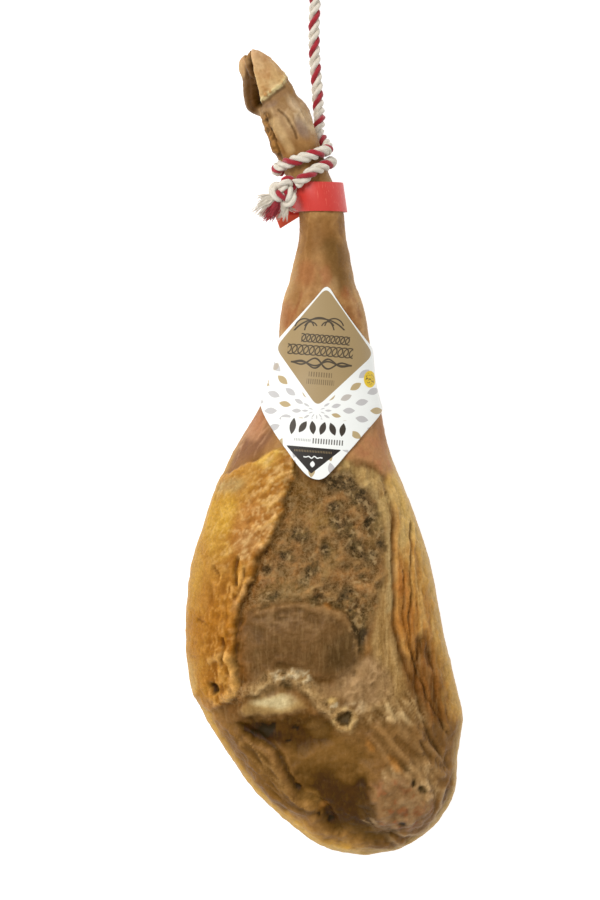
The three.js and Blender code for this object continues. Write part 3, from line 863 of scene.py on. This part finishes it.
def lay_right_side(c):
    """The strip of pale fibres along the face, and the folds beside it."""
    side = c.within(SIDE, 5)
    c.paint(side * 0.95, 184, 134, 68)
    c.wrinkle(side, 11, 31, 7, 94, 0.6, (214, 174, 110), (162, 106, 54))
    c.blotch(side, 18, 32, 0.5, 178, 114, 54)
    c.dab(0.7, (206, 176, 112), (76, -72), 8, 22)
    c.dab(0.6, (172, 104, 46), (72, -116), 7, 22)
    outer = c.stroke([(72, -30), (88, -62), (104, -106), (113, -146), (122, -190), (130, -236)], 20)
    c.paint(outer * 0.85, 190, 146, 76)
    c.paint(outer * smooth(-130, -60, c.points[:, 1]) * 0.6, 212, 178, 108)
    c.paint(outer * smooth(-240, -270, c.points[:, 1]) * 0.6, 170, 122, 66)
    c.paint(outer * smooth(0, 0.5, c.noise(16, 37, 3, 4, 100)) * 0.6, 168, 112, 52)
    c.paint(outer * smooth(0.1, 0.5, c.noise(12, 39, 3, 5, 98)) * 0.6, 212, 172, 100)
    strip = c.within(STRIP, 5)
    c.paint(strip * 0.9, 166, 130, 80)
    c.wrinkle(strip * 0.8, 7, 30, 8, 92, 0.5, (186, 154, 104), (138, 102, 58))
    c.paint(c.stroke([(40, -26), (52, -46), (60, -70), (61, -110), (60, -150)], 4) * 0.6, 176, 150, 104)
    c.more(c.grain, FIBROUS, np.maximum(strip, side * 0.6))
    c.gloss[:, CRUSTY] *= 1 - strip
    brown = c.within(RIGHT_BROWN, 8)
    c.paint(brown * 0.85, 108, 68, 36)
    c.wrinkle(brown, 13, 33, 5, 104, 0.5, (146, 94, 48), (84, 52, 26))
    c.raise_by(brown, -2.6)
    for line, depth, width in RIGHT_FOLDS:
        c.fold(line, depth, width, 112, 66, 32)
    flakes = smooth(-0.3, 0.3, c.noise(6, 25))
    for middle, across, upwards in (((24, -14), 16, 6), ((44, -26), 14, 9), ((57, -52), 8, 20)):
        corner = c.spot(middle, across, upwards, -0.4)
        c.paint(corner * (0.4 + 0.5 * flakes), 186, 154, 98)
        c.grain[:, MOULDY] *= 1 - 0.8 * corner
    c.dab(0.6, (150, 92, 40), (80, -158), 9, 24)
    pale = c.within(PALE_PATCH, 6)
    c.paint(pale * 0.9, 158, 124, 86)
    c.wrinkle(pale, 9, 34, 1.6, 60, 0.8, (176, 142, 102), (136, 104, 68))
    lower = c.within(FIBRE_FAN, 8)
    c.paint(lower * 0.85, 136, 102, 62)
    c.wrinkle(lower, 8, 35, 7, -56, 1.0, (186, 152, 104), (98, 68, 38))
    c.wrinkle(lower * 0.7, 4, 38, 7, -56, 0.4, (196, 164, 116), (112, 80, 46))
    for line in STREAKS:
        c.raise_by(c.stroke(line, 5, c.calm), 1.8)
        c.paint(c.stroke(line, 4.2, c.calm) * smooth(-0.5, 0.2, c.noise(14, 36)) * 0.85, 198, 168, 120)


def lay_lower_face(c):
    """Below the bone: the deep basin, the long lobe and the mound at the leg's end."""
    y = c.points[:, 1]
    low = c.within(FACE, 4) * (1 - smooth(-262, -246, y))
    c.paint(low * 0.85, 120, 84, 48)
    c.blotch(low, 20, 41, 0.7, 140, 102, 60)
    c.wrinkle(low * 0.4, 20, 47, 2.5, -40, 0.8, (146, 108, 66), (98, 68, 38))
    basin = c.within(BASIN, 12)
    c.paint(basin * 0.9, 124, 88, 46)
    c.paint(basin * smooth(-280, -318, y) * 0.95, 74, 48, 23)
    c.blotch(basin * smooth(-325, -300, y), 17, 42, 0.6, 142, 102, 56)
    c.paint(c.stroke([(0, -312), (14, -338), (30, -358)], 20) * 0.7, 70, 46, 22)
    c.raise_by(basin, -7.0)
    lobe = c.within(LOBE, 4)
    c.paint(lobe * 0.9, 112, 79, 43)
    c.wrinkle(lobe, 8, 43, 4, -48, 0.9, (156, 118, 70), (82, 56, 30))
    c.raise_by(lobe, 3.0)
    c.raise_by(c.stroke(LOBE_EDGE, 6), -3.2)
    # painted shade in the groove along the lobe's edge
    c.paint(c.stroke(LOBE_EDGE, 4) * 0.75, 64, 42, 22)
    hollow = c.within(UNDER_BONE, 7)
    c.paint(hollow * 0.9, 76, 49, 24)
    c.dab(0.85, (42, 26, 12), (-60, -263), 20, 9, -0.25)
    c.dab(0.7, (126, 92, 52), (-8, -262), 14, 9, -0.3)
    c.raise_by(hollow, -5.0)
    mound = 1 - smooth(0.55, 1.2, np.hypot(*((c.flat - MOUND) / (35, 27)).T))
    mound *= c.front
    c.paint(mound * 0.9, 136, 102, 68)
    c.blotch(mound, 10, 44, 0.6, 108, 80, 56)
    c.blotch(mound, 5, 45, 0.5, 150, 84, 50)
    c.blotch(mound, 8, 46, 0.6, 160, 128, 90)
    c.raise_by(mound, 7.0)
    c.more(c.gloss, GLOSSY, low * 0.35)
    c.grain[:, FIBROUS] *= 1 - 0.7 * low
    # painted shadow along the mound's left edge
    c.paint(c.stroke([(36, -312), (36, -330), (44, -348)], 8) * 0.75, 60, 40, 22)
    c.raise_by(mound * c.noise(8, 48), 1.4)
    for shift, width in ((0, 3.2), (9, 2.6)):
        lip = np.add(MOUND, np.subtract(MOUND_LIP, MOUND) * (1 + shift / 34, 1 + shift / 27))
        c.raise_by(c.stroke(lip, width * 1.8), 1.8)
        c.paint(c.stroke(lip, width) * 0.6, 172, 140, 98)
        groove = [(x + 4, y - 3.5) for x, y in lip]
        c.raise_by(c.stroke(groove, width * 1.8), -1.8)
        # painted shade in the groove beside the lip
        c.paint(c.stroke(groove, width) * 0.5, 88, 60, 34)
    for middle, across in (((90, -304), 15), ((98, -320), 12), ((62, -303), 8)):
        light_patch = c.spot(middle, across)
        c.paint(light_patch * 0.6, 178, 142, 96)
        c.wrinkle(light_patch * 0.7, 6, 49, 5, -56, 0.5, (206, 172, 124), (122, 88, 52))
    for spot in (((64, -294), 4, 11, 0.6), ((-5, -338), 6, 4, 0), ((42, -276), 3, 7, 0.6)):
        c.dab(0.65, (176, 118, 58), *spot)
    c.dab(0.75, (100, 72, 40), (26, -370), 44, 13, 0.15)
    c.dab(0.6, (166, 122, 66), (-16, -330), 8, 12, 0.6)
    for middle, across in DARK_SPOTS:
        c.dab(0.9, (34, 24, 16), middle, across)
        c.raise_by(c.spot(middle, across), -1.6)


def lay_bone(c):
    """The cut bone: a crumbly ridge, a round hole at its end, and a smooth ivory head beside it."""
    slope = c.stroke([(x + 2, y - 8) for x, y in BONE_RIDGE[2:]], 8)
    c.paint(slope * 0.8, 124, 94, 60)
    c.wrinkle(slope, 6, 53, 2, -40, 0.8, (152, 120, 80), (84, 60, 36))
    crumble = c.noise(6.5, 51) + 0.5 * c.noise(3.5, 52)
    tail = [(24, -248), (36, -242), (48, -238), (64, -235)]
    for line, width, strength in ((BONE_RIDGE, 10, 1), (tail, 6, 0.3)):
        ridge = c.stroke(line, width) * strength
        c.raise_by(ridge, 3.0)
        c.raise_by(ridge * crumble, 2.2)
        c.paint(ridge * 0.8, 154, 122, 80)
        # painted highlight on the crumbs that stand up, and painted shade in the pits between them
        c.paint(ridge * smooth(0.1, 0.7, crumble) * 0.55, 192, 162, 114)
        c.paint(ridge * smooth(0.1, 0.6, -crumble) * 0.7, 92, 68, 44)
        c.more(c.gloss, CRUSTY, ridge)
    # painted highlights on the bone ridge
    for middle, across in (((-22, -212), 9), ((-44, -212), 8), ((-34, -209), 6), ((8, -238), 4)):
        ridge_highlight = c.spot(middle, across, across * 0.6, -0.3)
        c.paint(ridge_highlight * smooth(-0.3, 0.3, c.noise(4, 54)) * 0.85, 222, 202, 162)
    c.dab(0.85, (54, 42, 30), (-36, -217), 6, 3.5, -0.3)
    c.dab(0.6, (156, 122, 82), (0, -225), 16, 6, -0.4)
    ivory = c.within(IVORY, 4)
    c.paint(ivory * 0.9, 146, 114, 70)
    c.paint(c.spot((-46, -236), 24, 8, 0.12) * ivory * 0.75, 178, 148, 98)
    # painted highlight: a pale band for the ivory head's gloss, over its own pale colour
    c.paint(c.spot((-50, -234), 21, 5.5, 0.08) * ivory * 0.75, 210, 192, 146)
    c.raise_by(ivory, 2.4)
    c.gloss[:, BONY] = ivory
    c.gloss[:, CRUSTY] *= 1 - ivory
    away = np.hypot(*(c.flat - BONE_HOLE).T)
    ring = np.exp(-(((away - 8.5) / 2.8) ** 2)) * c.front
    hole = (1 - smooth(4.5, 8, away)) * c.front
    c.raise_by(ring, 2.6)
    c.raise_by(ring * crumble, 2.6)
    c.raise_by(hole, -3.4)
    c.paint(c.spot((26, -241), 13, 7, 0.3) * smooth(-0.4, 0.2, c.noise(5, 55)) * 0.8, 196, 168, 126)
    c.paint(ring * 0.7, 158, 126, 80)
    # painted highlight on the ring's raised crumbs
    c.paint(ring * smooth(0.1, 0.5, crumble) * 0.8, 204, 172, 116)
    c.paint(hole * 0.9, 60, 48, 36)
    c.paint((1 - smooth(1.5, 5, away)) * c.front * 0.6, 112, 98, 80)
    c.dab(0.85, (216, 178, 112), (5, -233), 3.8, 3)
    c.more(c.gloss, CRUSTY, ring)


def lay_fat(c):
    """The yellow fat down the left side, and its rim round the lower end."""
    x, y, _ = c.points.T
    fat = c.within(FAT, 2.6)
    edge = c.away(FAT_EDGE)
    between = np.exp(-((edge / 9) ** 2)) * (1 - fat) * c.front * smooth(-75, -100, y)
    c.paint(between * 0.85, 136, 84, 38)
    c.wrinkle(between, 8, 60, 1.8, 70, 1.4, (168, 112, 58), (92, 58, 28))
    c.paint(fat * 0.96, 178, 126, 54)
    for middle, across, upwards, turn, seen in FAT_TONES:
        c.paint(c.spot(middle, across, upwards, turn) * fat * 0.7, *seen)
    rough = fat * smooth(-128, -96, x)
    upper = rough * smooth(-120, -95, y)
    inner = 0.35 + 0.65 * smooth(45, 12, edge)
    c.wrinkle(upper * 0.9 * inner, 13, 62, 2.2, 38, 1.0, (208, 164, 92), (160, 100, 40))
    c.wrinkle(upper * inner, 5, 63, 2.6, 30, 0.45, (222, 184, 124), (160, 102, 44))
    c.wrinkle((rough - upper) * inner, 14, 64, 2.6, 84, 1.2, (186, 132, 60), (126, 72, 24))
    c.wrinkle((rough - upper) * inner, 5, 65, 2.4, 95, 0.5, (204, 154, 88), (130, 76, 26))
    c.wrinkle((fat - rough) * 0.5, 18, 66, 2, 80, 0.5, (196, 150, 68), (156, 104, 38))
    border = np.exp(-((edge / 8) ** 2)) * fat
    c.raise_by(fat, 3.4)
    c.raise_by(border * c.noise(9, 67), 3.0)
    c.paint(border * smooth(-0.1, 0.5, c.noise(7, 68)) * 0.6, 204, 158, 102)
    c.paint(border * smooth(0.1, 0.5, -c.noise(7, 69)) * 0.6, 142, 88, 38)
    shadow = np.exp(-(((edge - 3) / 4) ** 2)) * (1 - fat) * c.front * (y < 0)
    c.raise_by(shadow, -1.8)
    c.paint(shadow * 0.5, 78, 50, 26)
    c.paint(c.spot((-97, -160), 15, 26, -0.1) * fat * 0.45, 168, 108, 36)
    c.grain[:, FATTY] = fat
    c.grain[:, FIBROUS] *= 1 - fat
    c.more(c.gloss, GLOSSY, fat * 0.7)
    loops = c.stroke([(-106, -196), (-94, -191), (-85, -204), (-88, -222), (-94, -232)], 5)
    c.raise_by(loops, 1.2)
    c.paint(loops * 0.5, 204, 158, 92)
    for line, depth, width in GASHES:
        c.fold(line, depth, width, 108, 58, 20)
    c.raise_by(c.spot((-104, -222), 5), -4.0)
    c.dab(0.9, (58, 40, 26), (-104, -222), 4, 5.5)
    rim = c.stroke(LOW_RIM, 22) * (1 - fat)
    c.paint(rim * 0.75, 160, 116, 64)
    c.wrinkle(rim * 0.5, 12, 75, 4, -50, 0.3, (190, 148, 88), (142, 100, 52))
    c.paint(c.stroke(LOW_RIM, 10) * (1 - fat) * 0.9, 200, 150, 68)
    c.paint(c.stroke(LOW_RIM, 5, c.calm) * (1 - fat) * 0.8, 226, 184, 104)
    c.paint(c.stroke([(-92, -268), (-78, -292), (-60, -314), (-38, -334)], 12) * 0.75, 116, 80, 40)
    # painted rim light: the steep sides of the leg are painted paler, as the glow at their edges
    side = smooth(0.5, 0.15, np.abs(c.normals[:, 2])) * (1 - smooth(-20, 25, y)) * (c.normals[:, 2] > -0.5)
    c.paint(side * smooth(20, -20, x) * 0.7, 198, 154, 78)
    c.paint(side * smooth(-20, 20, x) * 0.65, 206, 172, 112)


def lay_foot(c):
    """The trotter: horny claws with a torn edge of skin, the cleft between the toes, and the dewclaws."""
    x, y, z = c.points.T
    foot = smooth(290, 312, y)
    c.paint(foot * 0.9, 178, 145, 106)
    c.blotch(foot, 14, 71, 0.6, 150, 116, 78)
    c.blotch(foot, 11, 72, 0.7, 206, 180, 144)
    c.wrinkle(foot * 0.7, 13, 70, 2.6, 112, 0.7, (192, 162, 120), (136, 102, 68))
    for middle, across, upwards in (((-41, 342), 9, 5), ((-22, 308), 6, 12), ((-52, 331), 8, 4)):
        c.dab(0.6, (134, 114, 106), middle, across, upwards, 0.5)
    # painted highlight on the foot's skin
    c.dab(0.6, (198, 172, 140), (-31, 332), 5, 10, 0.6)
    toes = smooth(318, 334, y - 0.4 * (x + 62))
    c.paint(toes * 0.8, 140, 102, 62)
    # the inner toe painted dark: its own dark brown, deepened as painted shadow below the left claw
    inner = c.within(INNER_TOE, 5)
    c.paint(inner * 0.9, 72, 45, 28)
    for outline, lift, soft in ((RIGHT_HORN, 1.4, 0.9), (LEFT_HORN, 0.4, 2.5)):
        horn = c.within(outline, soft)
        c.paint(horn, 192, 154, 104)
        c.blotch(horn, 12, 74, 0.8, 208, 176, 126)
        c.blotch(horn, 9, 76, 0.5, 172, 116, 66)
        c.paint(horn * smooth(352, 382, y) * 0.55, 192, 156, 124)
        c.wrinkle(horn * 0.5, 7, 77, 4, 112, 0.3, (206, 172, 120), (158, 112, 62))
        torn = np.exp(-(((c.away(outline, closed=True) - 0.8) / 1.7) ** 2)) * (y < 366) * (x > -67) * foot
        c.paint(torn * smooth(-0.3, 0.3, c.noise(3.5, 75)) * 0.9, 216, 198, 146)
        c.raise_by(horn, lift)
        c.raise_by(torn * (1 + c.noise(3, 73)), 0.8)
        c.more(c.gloss, GLOSSY, horn * 0.6)
    c.paint(c.stroke([(-39, 347), (-48, 341), (-56, 334), (-62, 328)], 2.4) * 0.6, 88, 66, 50)
    c.raise_by(c.stroke(CLEFT, 4.4), -8.0)
    # painted shade in the cleft between the toes
    c.paint(c.stroke(CLEFT, 3.4) * 0.95, 44, 28, 18)
    c.fold(SKIN_SLIT, 1.6, 0.9, 74, 42, 24)
    crust = c.within(DEWCLAW, 2.5)
    c.paint(crust * 0.8, 138, 98, 54)
    c.wrinkle(crust, 6, 78, 1.5, 110, 1.2, (182, 130, 74), (84, 56, 34))
    c.raise_by(crust, 1.0)
    c.fold(DEWCLAW_FOLD, 1.4, 1.2, 92, 62, 38)
    for middle, across in (((-54.6, 316), 2.4), ((-50, 307), 2.2), ((-57, 305), 1.8)):
        c.dab(0.85, (60, 40, 30), middle, across)
    tendon = c.stroke([(-48, 314), (-41, 301), (-33, 287)], 6, c.calm)
    c.raise_by(tendon, 1.6)
    c.paint(tendon * 0.5, 200, 168, 120)
    c.raise_by(foot * c.noise(7, 79), 0.6)


def ham_material():
    paint = Paint("cured_meat")
    fat, mould, fibre = paint.parts(paint.attribute("grain"))
    glossy, crust, bone = paint.parts(paint.attribute("gloss"))
    colour = paint.attribute("paint")
    fine = paint.noise(360, 5, 0.62)
    speck = paint.noise(1100, 3, 0.6)
    thread = (paint.noise(240, 4, 0.6) - 0.5).size().below(0.035, 0.05)
    fibres = paint.noise(300, 4, 0.6, at=paint.places((1, 0.14, 1)))
    tone = paint.mix((fine - 0.5) * 2.6 + 0.5, (0.6, 0.54, 0.46), (1.3, 1.34, 1.36))
    rugged = (crust * 0.4 + fibre * 0.35 + fat * 0.25 + 0.26).least(1)
    colour = paint.mix(rugged, colour, tone, "MULTIPLY")
    colour = paint.mix(thread * crust * 0.4, colour, (0.42, 0.25, 0.11))
    colour = paint.mix(fibres.above(0.56, 0.12) * fibre * 0.35, colour, (0.42, 0.26, 0.11))
    colour = paint.mix(fibres.below(0.42, 0.12) * fibre * 0.35, colour, (0.12, 0.06, 0.022))
    cloud = paint.noise(170, 2.5, 0.5)
    colour = paint.mix(cloud.below(0.5, 0.2) * mould * 0.45, colour, (0.03, 0.024, 0.018))
    colour = paint.mix(cloud.above(0.6, 0.12) * (mould * 0.3 + crust * 0.3), colour, (0.46, 0.31, 0.15))
    colour = paint.mix(1.0, colour, (0.005, 0.007, 0.013), "SUBTRACT")
    colour = paint.mix(1.0, colour, (0.022, 0.012, 0.001), "LIGHTEN")
    paint.set(Base_Color=colour)
    rough = (speck - 0.5) * 0.4 + 0.54 - glossy * 0.2 + crust * 0.2 - bone * 0.2
    paint.set(Roughness=rough, Specular_IOR_Level=0.13)
    relief = fine * (rugged * 0.8 + 0.35) + speck * (crust + fat) * 0.4 + fibres * fibre * 0.6
    paint.bump(relief - bone * fine * 0.4, 1.1)
    return paint.material


def ham():
    obj = ham_mesh()
    carving = Carving(obj)
    for lay in (lay_skin, lay_lean, lay_right_side, lay_lower_face, lay_bone, lay_fat, lay_foot):
        lay(carving)
    y = carving.points[:, 1]
    under_label = carving.within(LABEL_ZONE, 5, plain=True)
    shank = smooth(190, 215, y) * (1 - smooth(292, 300, y))
    flat_parts = np.maximum(under_label, shank)
    carving.height = carving.height * (1 - flat_parts) + np.minimum(carving.height, 0.3) * flat_parts
    carving.shade_hollows(HOLLOW_ROUNDS, HOLLOW_SHADE)
    moved = carving.points + carving.normals * carving.height[:, None]
    moved[:, 2] = np.maximum(moved[:, 2], 0)
    x, y, _ = carving.points.T
    left_bulge = LEFT_TOE_BULGE * np.exp(-(((y - 356) / 12) ** 2)) * smooth(-66, -76, x)
    moved[:, 0] += left_bulge - TOE_LEAN * smooth(345, 380, y)
    obj.data.vertices.foreach_set("co", (moved * MM).ravel())
    obj.data.update()
    add_values(obj, "paint", carving.colour)
    add_values(obj, "grain", carving.grain)
    add_values(obj, "gloss", carving.gloss)
    obj.data.materials.append(ham_material())
    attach(obj, "root")
    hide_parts("ham")


ham()


# ---- the seal band ----
BAND_MIDDLE = 242
BAND_FLARE = 0.26  # how far the shank's flare sets its right side back, for each millimetre along
TAIL_PAINTED_LIGHT_BELOW = BAND_MIDDLE - 15


def band():
    """The solid model's band, its right side set straighter, as a stiff strap stands."""
    obj = copy_of("seal_band", "plastic_band")
    mesh = joined_faces(obj, 0.9)
    for vert in mesh.verts:
        straighter = 1.0 + BAND_FLARE * (vert.co.y / MM - BAND_MIDDLE)
        vert.co.x += float(smooth(0, 15, vert.co.x / MM)) * straighter * MM
    mesh.to_mesh(obj.data)
    mesh.free()
    bevel = obj.modifiers.new("bevel", "BEVEL")
    bevel.width = 0.3 * MM
    bevel.segments = 2
    bevel.limit_method = "ANGLE"
    bevel.angle_limit = math.radians(50)
    shade_smooth(obj)
    paint = Paint("red_plastic")
    cloud = paint.noise(60, 3)
    scuff = paint.noise(900, 2, at=paint.places((1, 0.12, 1)))
    base = paint.mix(cloud, linear(196, 46, 38), linear(212, 62, 50))
    along = paint.make("SeparateXYZ", Vector=paint.places())
    # painted light: the band's tail below this is painted lighter, as lit
    tail = Wire(paint.tree, along.outputs[1]).below(TAIL_PAINTED_LIGHT_BELOW * MM, 2 * MM)
    base = paint.mix(tail, base, linear(250, 112, 84))
    paint.set(Base_Color=paint.mix(scuff.above(0.66, 0.1) * 0.4, base, linear(234, 120, 100)))
    paint.set(Roughness=(cloud * 0.2) + 0.32, Specular_IOR_Level=0.5)
    paint.bump(scuff * 0.4 + cloud * 0.6, 0.25)
    obj.data.materials.append(paint.material)
    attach(obj, "root")
    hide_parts("seal_band")


band()


# ---- the label ----
CARD_BENDS_BELOW = 60  # the card's sides hang down from about this height
CARD_BEND_SHARE = 0.7
PRINT_TILT = -4.5  # degrees
GOLD_ROUNDING = 12
GOLD_CORNERS = [(0.8, 157), (-47.5, 100), (-8, 43.5), (45.8, 93.5)]
FOOT_CORNERS = [(-37.5, 7.5), (-13.8, -19.5), (15, 3)]
FLOWER_AT = (-8.5, 40)
STICKER_AT = (42, 70)
# a chain of rings: its middle, how far it reaches, and each ring's half width and half height
CHAINS = [((0, 107.5), 23, 4.6, 4.4), ((-5, 96.5), 31, 5.4, 5.2)]
# a ring of leaves round the flower's middle: its radius, their number, length and width
PETAL_RINGS = [
    (6, 10, 2.4, 0.5), (11, 12, 3.2, 1.0), (19, 13, 4.6, 2.0), (30.5, 15, 5.8, 2.8), (43.5, 17, 6.2, 3.1),
    (57, 19, 6.4, 3.2),
]


def card_mesh():
    """The solid model's label with its facets smoothed out, and its flat layout as a UV map in metres."""
    obj = copy_of("label", "printed_card")
    mesh = joined_faces(obj, 2.4)
    crease = mesh.edges.layers.float.new("crease_edge")
    for edge in mesh.edges:
        if len(edge.link_faces) == 2 and edge.calc_face_angle(0) > math.radians(45):
            edge[crease] = 1
    mesh.to_mesh(obj.data)
    mesh.free()
    rounder = obj.modifiers.new("rounder", "SUBSURF")
    rounder.levels = rounder.render_levels = 2
    ready = use_modifiers(obj)
    shade_smooth(obj)
    layout = ready.uv_layers.new(name="layout")
    for loop in ready.loops:
        x, y, z = ready.vertices[loop.vertex_index].co
        wrap = max(0, CARD_BENDS_BELOW * MM - z) * CARD_BEND_SHARE
        layout.data[loop.index].uv = (x + math.copysign(wrap, x), y)
    return obj


class Print:
    """Shapes drawn on the card in millimetres of its flat layout. Each is a wire, 1 where there is ink."""

    def __init__(self, paint):
        self.paint = paint
        node = paint.make("UVMap")
        node.uv_map = "layout"
        split = paint.make("SeparateXYZ", Vector=Wire(paint.tree, node.outputs[0]))
        self.x = Wire(paint.tree, split.outputs[0]) * 1000
        self.y = Wire(paint.tree, split.outputs[1]) * 1000

    def polygon(self, corners, inset=0.0, rounding=0.0):
        """A filled shape, its corners given anticlockwise."""
        inside = None
        for (ax, ay), (bx, by) in zip(corners, corners[1:] + corners[:1]):
            length = math.hypot(bx - ax, by - ay)
            nx, ny = -(by - ay) / length, (bx - ax) / length
            gap = self.x * nx + (self.y * ny - (ax * nx + ay * ny))
            inside = gap if inside is None else inside.node("SMOOTH_MIN", gap, rounding)
        return inside.above(inset)

    def turned(self, middle, degrees):
        c, s = math.cos(math.radians(degrees)), math.sin(math.radians(degrees))
        dx, dy = self.x - middle[0], self.y - middle[1]
        return dx * c + dy * s, dy * c - dx * s

    def leaf(self, middle, length, width, degrees):
        """A pointed leaf: two arcs that meet at its tips."""
        u, v = self.turned(middle, degrees)
        return (v.size() * (length / width) + u * u * (2 / length)).below(length / 2, 0.6)

    def oval(self, middle, across, upwards):
        u, v = (self.x - middle[0]) / across, (self.y - middle[1]) / upwards
        return (u * u + v * v).below(1, 0.15)

    def wave(self, middle, reach, swing, turns, width, degrees=PRINT_TILT):
        """A flowing line: a sine that dies away towards both of its ends."""
        u, v = self.turned(middle, degrees)
        ends = (u / reach).size().node("MULTIPLY", -1).node("ADD", 1, clamp=True)
        angle = u * (math.pi * turns / reach)
        height = angle.node("SINE") * ends * swing
        slope = angle.node("COSINE") * ends * (swing * math.pi * turns / reach)
        away = (v - height).size() / (slope * slope + 1).node("SQRT")
        return away.below(width, 0.35).least(u.size().below(reach))

    def chain(self, middle, reach, across, upwards, width, degrees=PRINT_TILT):
        """A row of open rings, leaning forwards, that each overlap the next."""
        u, v = self.turned(middle, degrees)
        leaning = (u - v * 0.3) / (2 * across)
        links = None
        for shift in (0.0, 0.5):
            beat = ((leaning + shift).node("FRACT") - 0.5) * (2 * across / (across - width))
            lift = v / (upwards - width)
            ring = (beat * beat + lift * lift).node("SQRT") - 1
            ink = ring.size().below(width / across, 0.12)
            links = ink if links is None else links.most(ink)
        return links.least(u.size().below(reach, 0.5))

    def arc(self, middle, radius, width, above):
        dx, dy = self.x - middle[0], self.y - middle[1]
        away = (dx * dx + dy * dy).node("SQRT")
        return (away - radius).size().below(width, 0.35).least(dy.above(above))

    def dashes(self, middle, reach, height, pitch, degrees=PRINT_TILT):
        """A row of short upright strokes."""
        u, v = self.turned(middle, degrees)
        beat = (u / pitch).node("FRACT") - 0.5
        stroke = beat.size().below(0.24, 0.12)
        return stroke.least(u.size().below(reach)).least(v.size().below(height / 2))

    def petals(self, radius, count, length, width, shift=0.0):
        """A ring of leaves that point out from the flower's middle, and which ones of them are gold."""
        dx, dy = self.x - FLOWER_AT[0], self.y - FLOWER_AT[1]
        away = (dx * dx + dy * dy).node("SQRT")
        turn = dy.node("ARCTAN2", dx) * (count / (2 * math.pi)) + shift
        beat = turn.node("FRACT") - 0.5
        aside = beat.size() * away * (2 * math.pi / count)
        out = away - radius
        leaves = (aside * (length / width) + out * out / length).below(length, 0.6)
        gilt = (turn.node("FLOOR") * 0.382 + radius * 0.171).node("FRACT").above(0.6, 0.01)
        return leaves, gilt


def label_material():
    paint = Paint("printed_card")
    draw = Print(paint)
    white = linear(236, 237, 232)
    grey = linear(190, 187, 185)
    gold = linear(162, 138, 97)
    dark = linear(58, 50, 40)
    colour = white
    for number, (radius, count, length, width) in enumerate(PETAL_RINGS):
        ink, gilt = draw.petals(radius, count, length, width, 0.5 * (number % 2))
        shade = paint.mix(gilt, grey, linear(182, 160, 118)) if number > 1 else grey
        colour = paint.mix(ink, colour, shade)
    emblem = draw.arc((-6, 96), 31, 0.75, 20)
    for middle, radius in (((-20, 118), 9), ((8, 118), 9), ((-6, 114), 14), ((-14, 118), 6), ((2, 118), 6)):
        emblem = emblem.most(draw.arc(middle, radius, 0.65, 2))
    for middle, reach, across, upwards in CHAINS:
        emblem = emblem.most(draw.chain(middle, reach, across, upwards, 0.7))
    for swing in (6.0, -6.0, 3.0):
        emblem = emblem.most(draw.wave((-4, 84.5), 29, swing, 2, 0.8, -4))
    small = draw.dashes((-5, 74), 11, 4.6, 2.4).most(draw.dashes((-5, 67), 13, 5, 2))
    word = draw.dashes((2, 10.5), 15, 5, 2.5).most(draw.dashes((-22, 12.5), 8, 2.4, 1.6) * 0.6) * 0.9
    for number, turn in enumerate((80, 55, 95, 70, 110, 80)):
        length = 16 if number == 0 else 13
        word = word.most(draw.leaf((-31 + 9.4 * number, 25.5 - 0.75 * number), length, 6, turn))
    speckle = draw.oval(STICKER_AT, 4.2, 6) * paint.noise(520, 1).above(0.56, 0.04)
    for ink, tone in (
        (draw.leaf((-47, 82), 9, 5, 60) * 0.5, gold),
        (draw.polygon([(-42, 34), (-40, 3), (24, 3), (26, 30)]), white),
        (draw.polygon(GOLD_CORNERS, -3.2, GOLD_ROUNDING), white),
        (draw.polygon(GOLD_CORNERS, 0, GOLD_ROUNDING), gold),
        (emblem * 0.92, dark),
        (small * 0.85, linear(110, 92, 62)),
        (word, dark),
        (draw.polygon(FOOT_CORNERS, 0, 2), linear(34, 28, 22)),
        (draw.dashes((-12, 1.5), 18, 2, 1.5) * 0.5, gold),
        (draw.wave((-12, -4), 9, 1.1, 3, 0.5), white),
        (draw.leaf((-12.5, -10.5), 6, 4.4, 86), white),
        (draw.oval(STICKER_AT, 5.8, 8), linear(226, 190, 20)),
        (speckle, linear(120, 92, 20)),
    ):
        colour = paint.mix(ink, colour, tone)
    paint.set(Base_Color=colour)
    paint.set(Roughness=0.5, Specular_IOR_Level=0.3)
    paint.bump(paint.noise(500, 2), 0.03)
    return paint.material


def label():
    obj = card_mesh()
    obj.data.materials.append(label_material())
    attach(obj, "root")
    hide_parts("label")


label()


# ---- the floor and the light ----
def floor():
    signs = ((-1, -1), (1, -1), (1, 1), (-1, 1))
    corners = [(x * FLOOR_REACH, y * FLOOR_REACH, -FLOOR_DEPTH) for x, y in signs]
    obj = new_object("floor", corners, [(0, 1, 2, 3)])
    paint = Paint("pale_floor")
    paint.set(Base_Color=(0.5, 0.5, 0.5, 1), Roughness=0.9, Specular_IOR_Level=0.1)
    paint.set(Emission_Color=(1, 1, 1, 1), Emission_Strength=0.85)
    obj.data.materials.append(paint.material)


def sun():
    data = bpy.data.lights.new("key", "SUN")
    data.energy = SUN_STRENGTH
    data.angle = math.radians(SUN_SPREAD)
    obj = bpy.data.objects.new("key", data)
    obj.rotation_euler = Vector(SUN_TOWARDS).to_track_quat("-Z", "Y").to_euler()
    bpy.context.scene.collection.objects.link(obj)


def light():
    world = bpy.data.worlds.new("studio")
    world.use_nodes = True
    background = world.node_tree.nodes["Background"].inputs
    background["Color"].default_value = (1, 1, 1, 1)
    background["Strength"].default_value = WORLD_STRENGTH
    bpy.context.scene.world = world
    sun()
    bpy.context.scene.view_settings.view_transform = "Standard"


floor()
light()
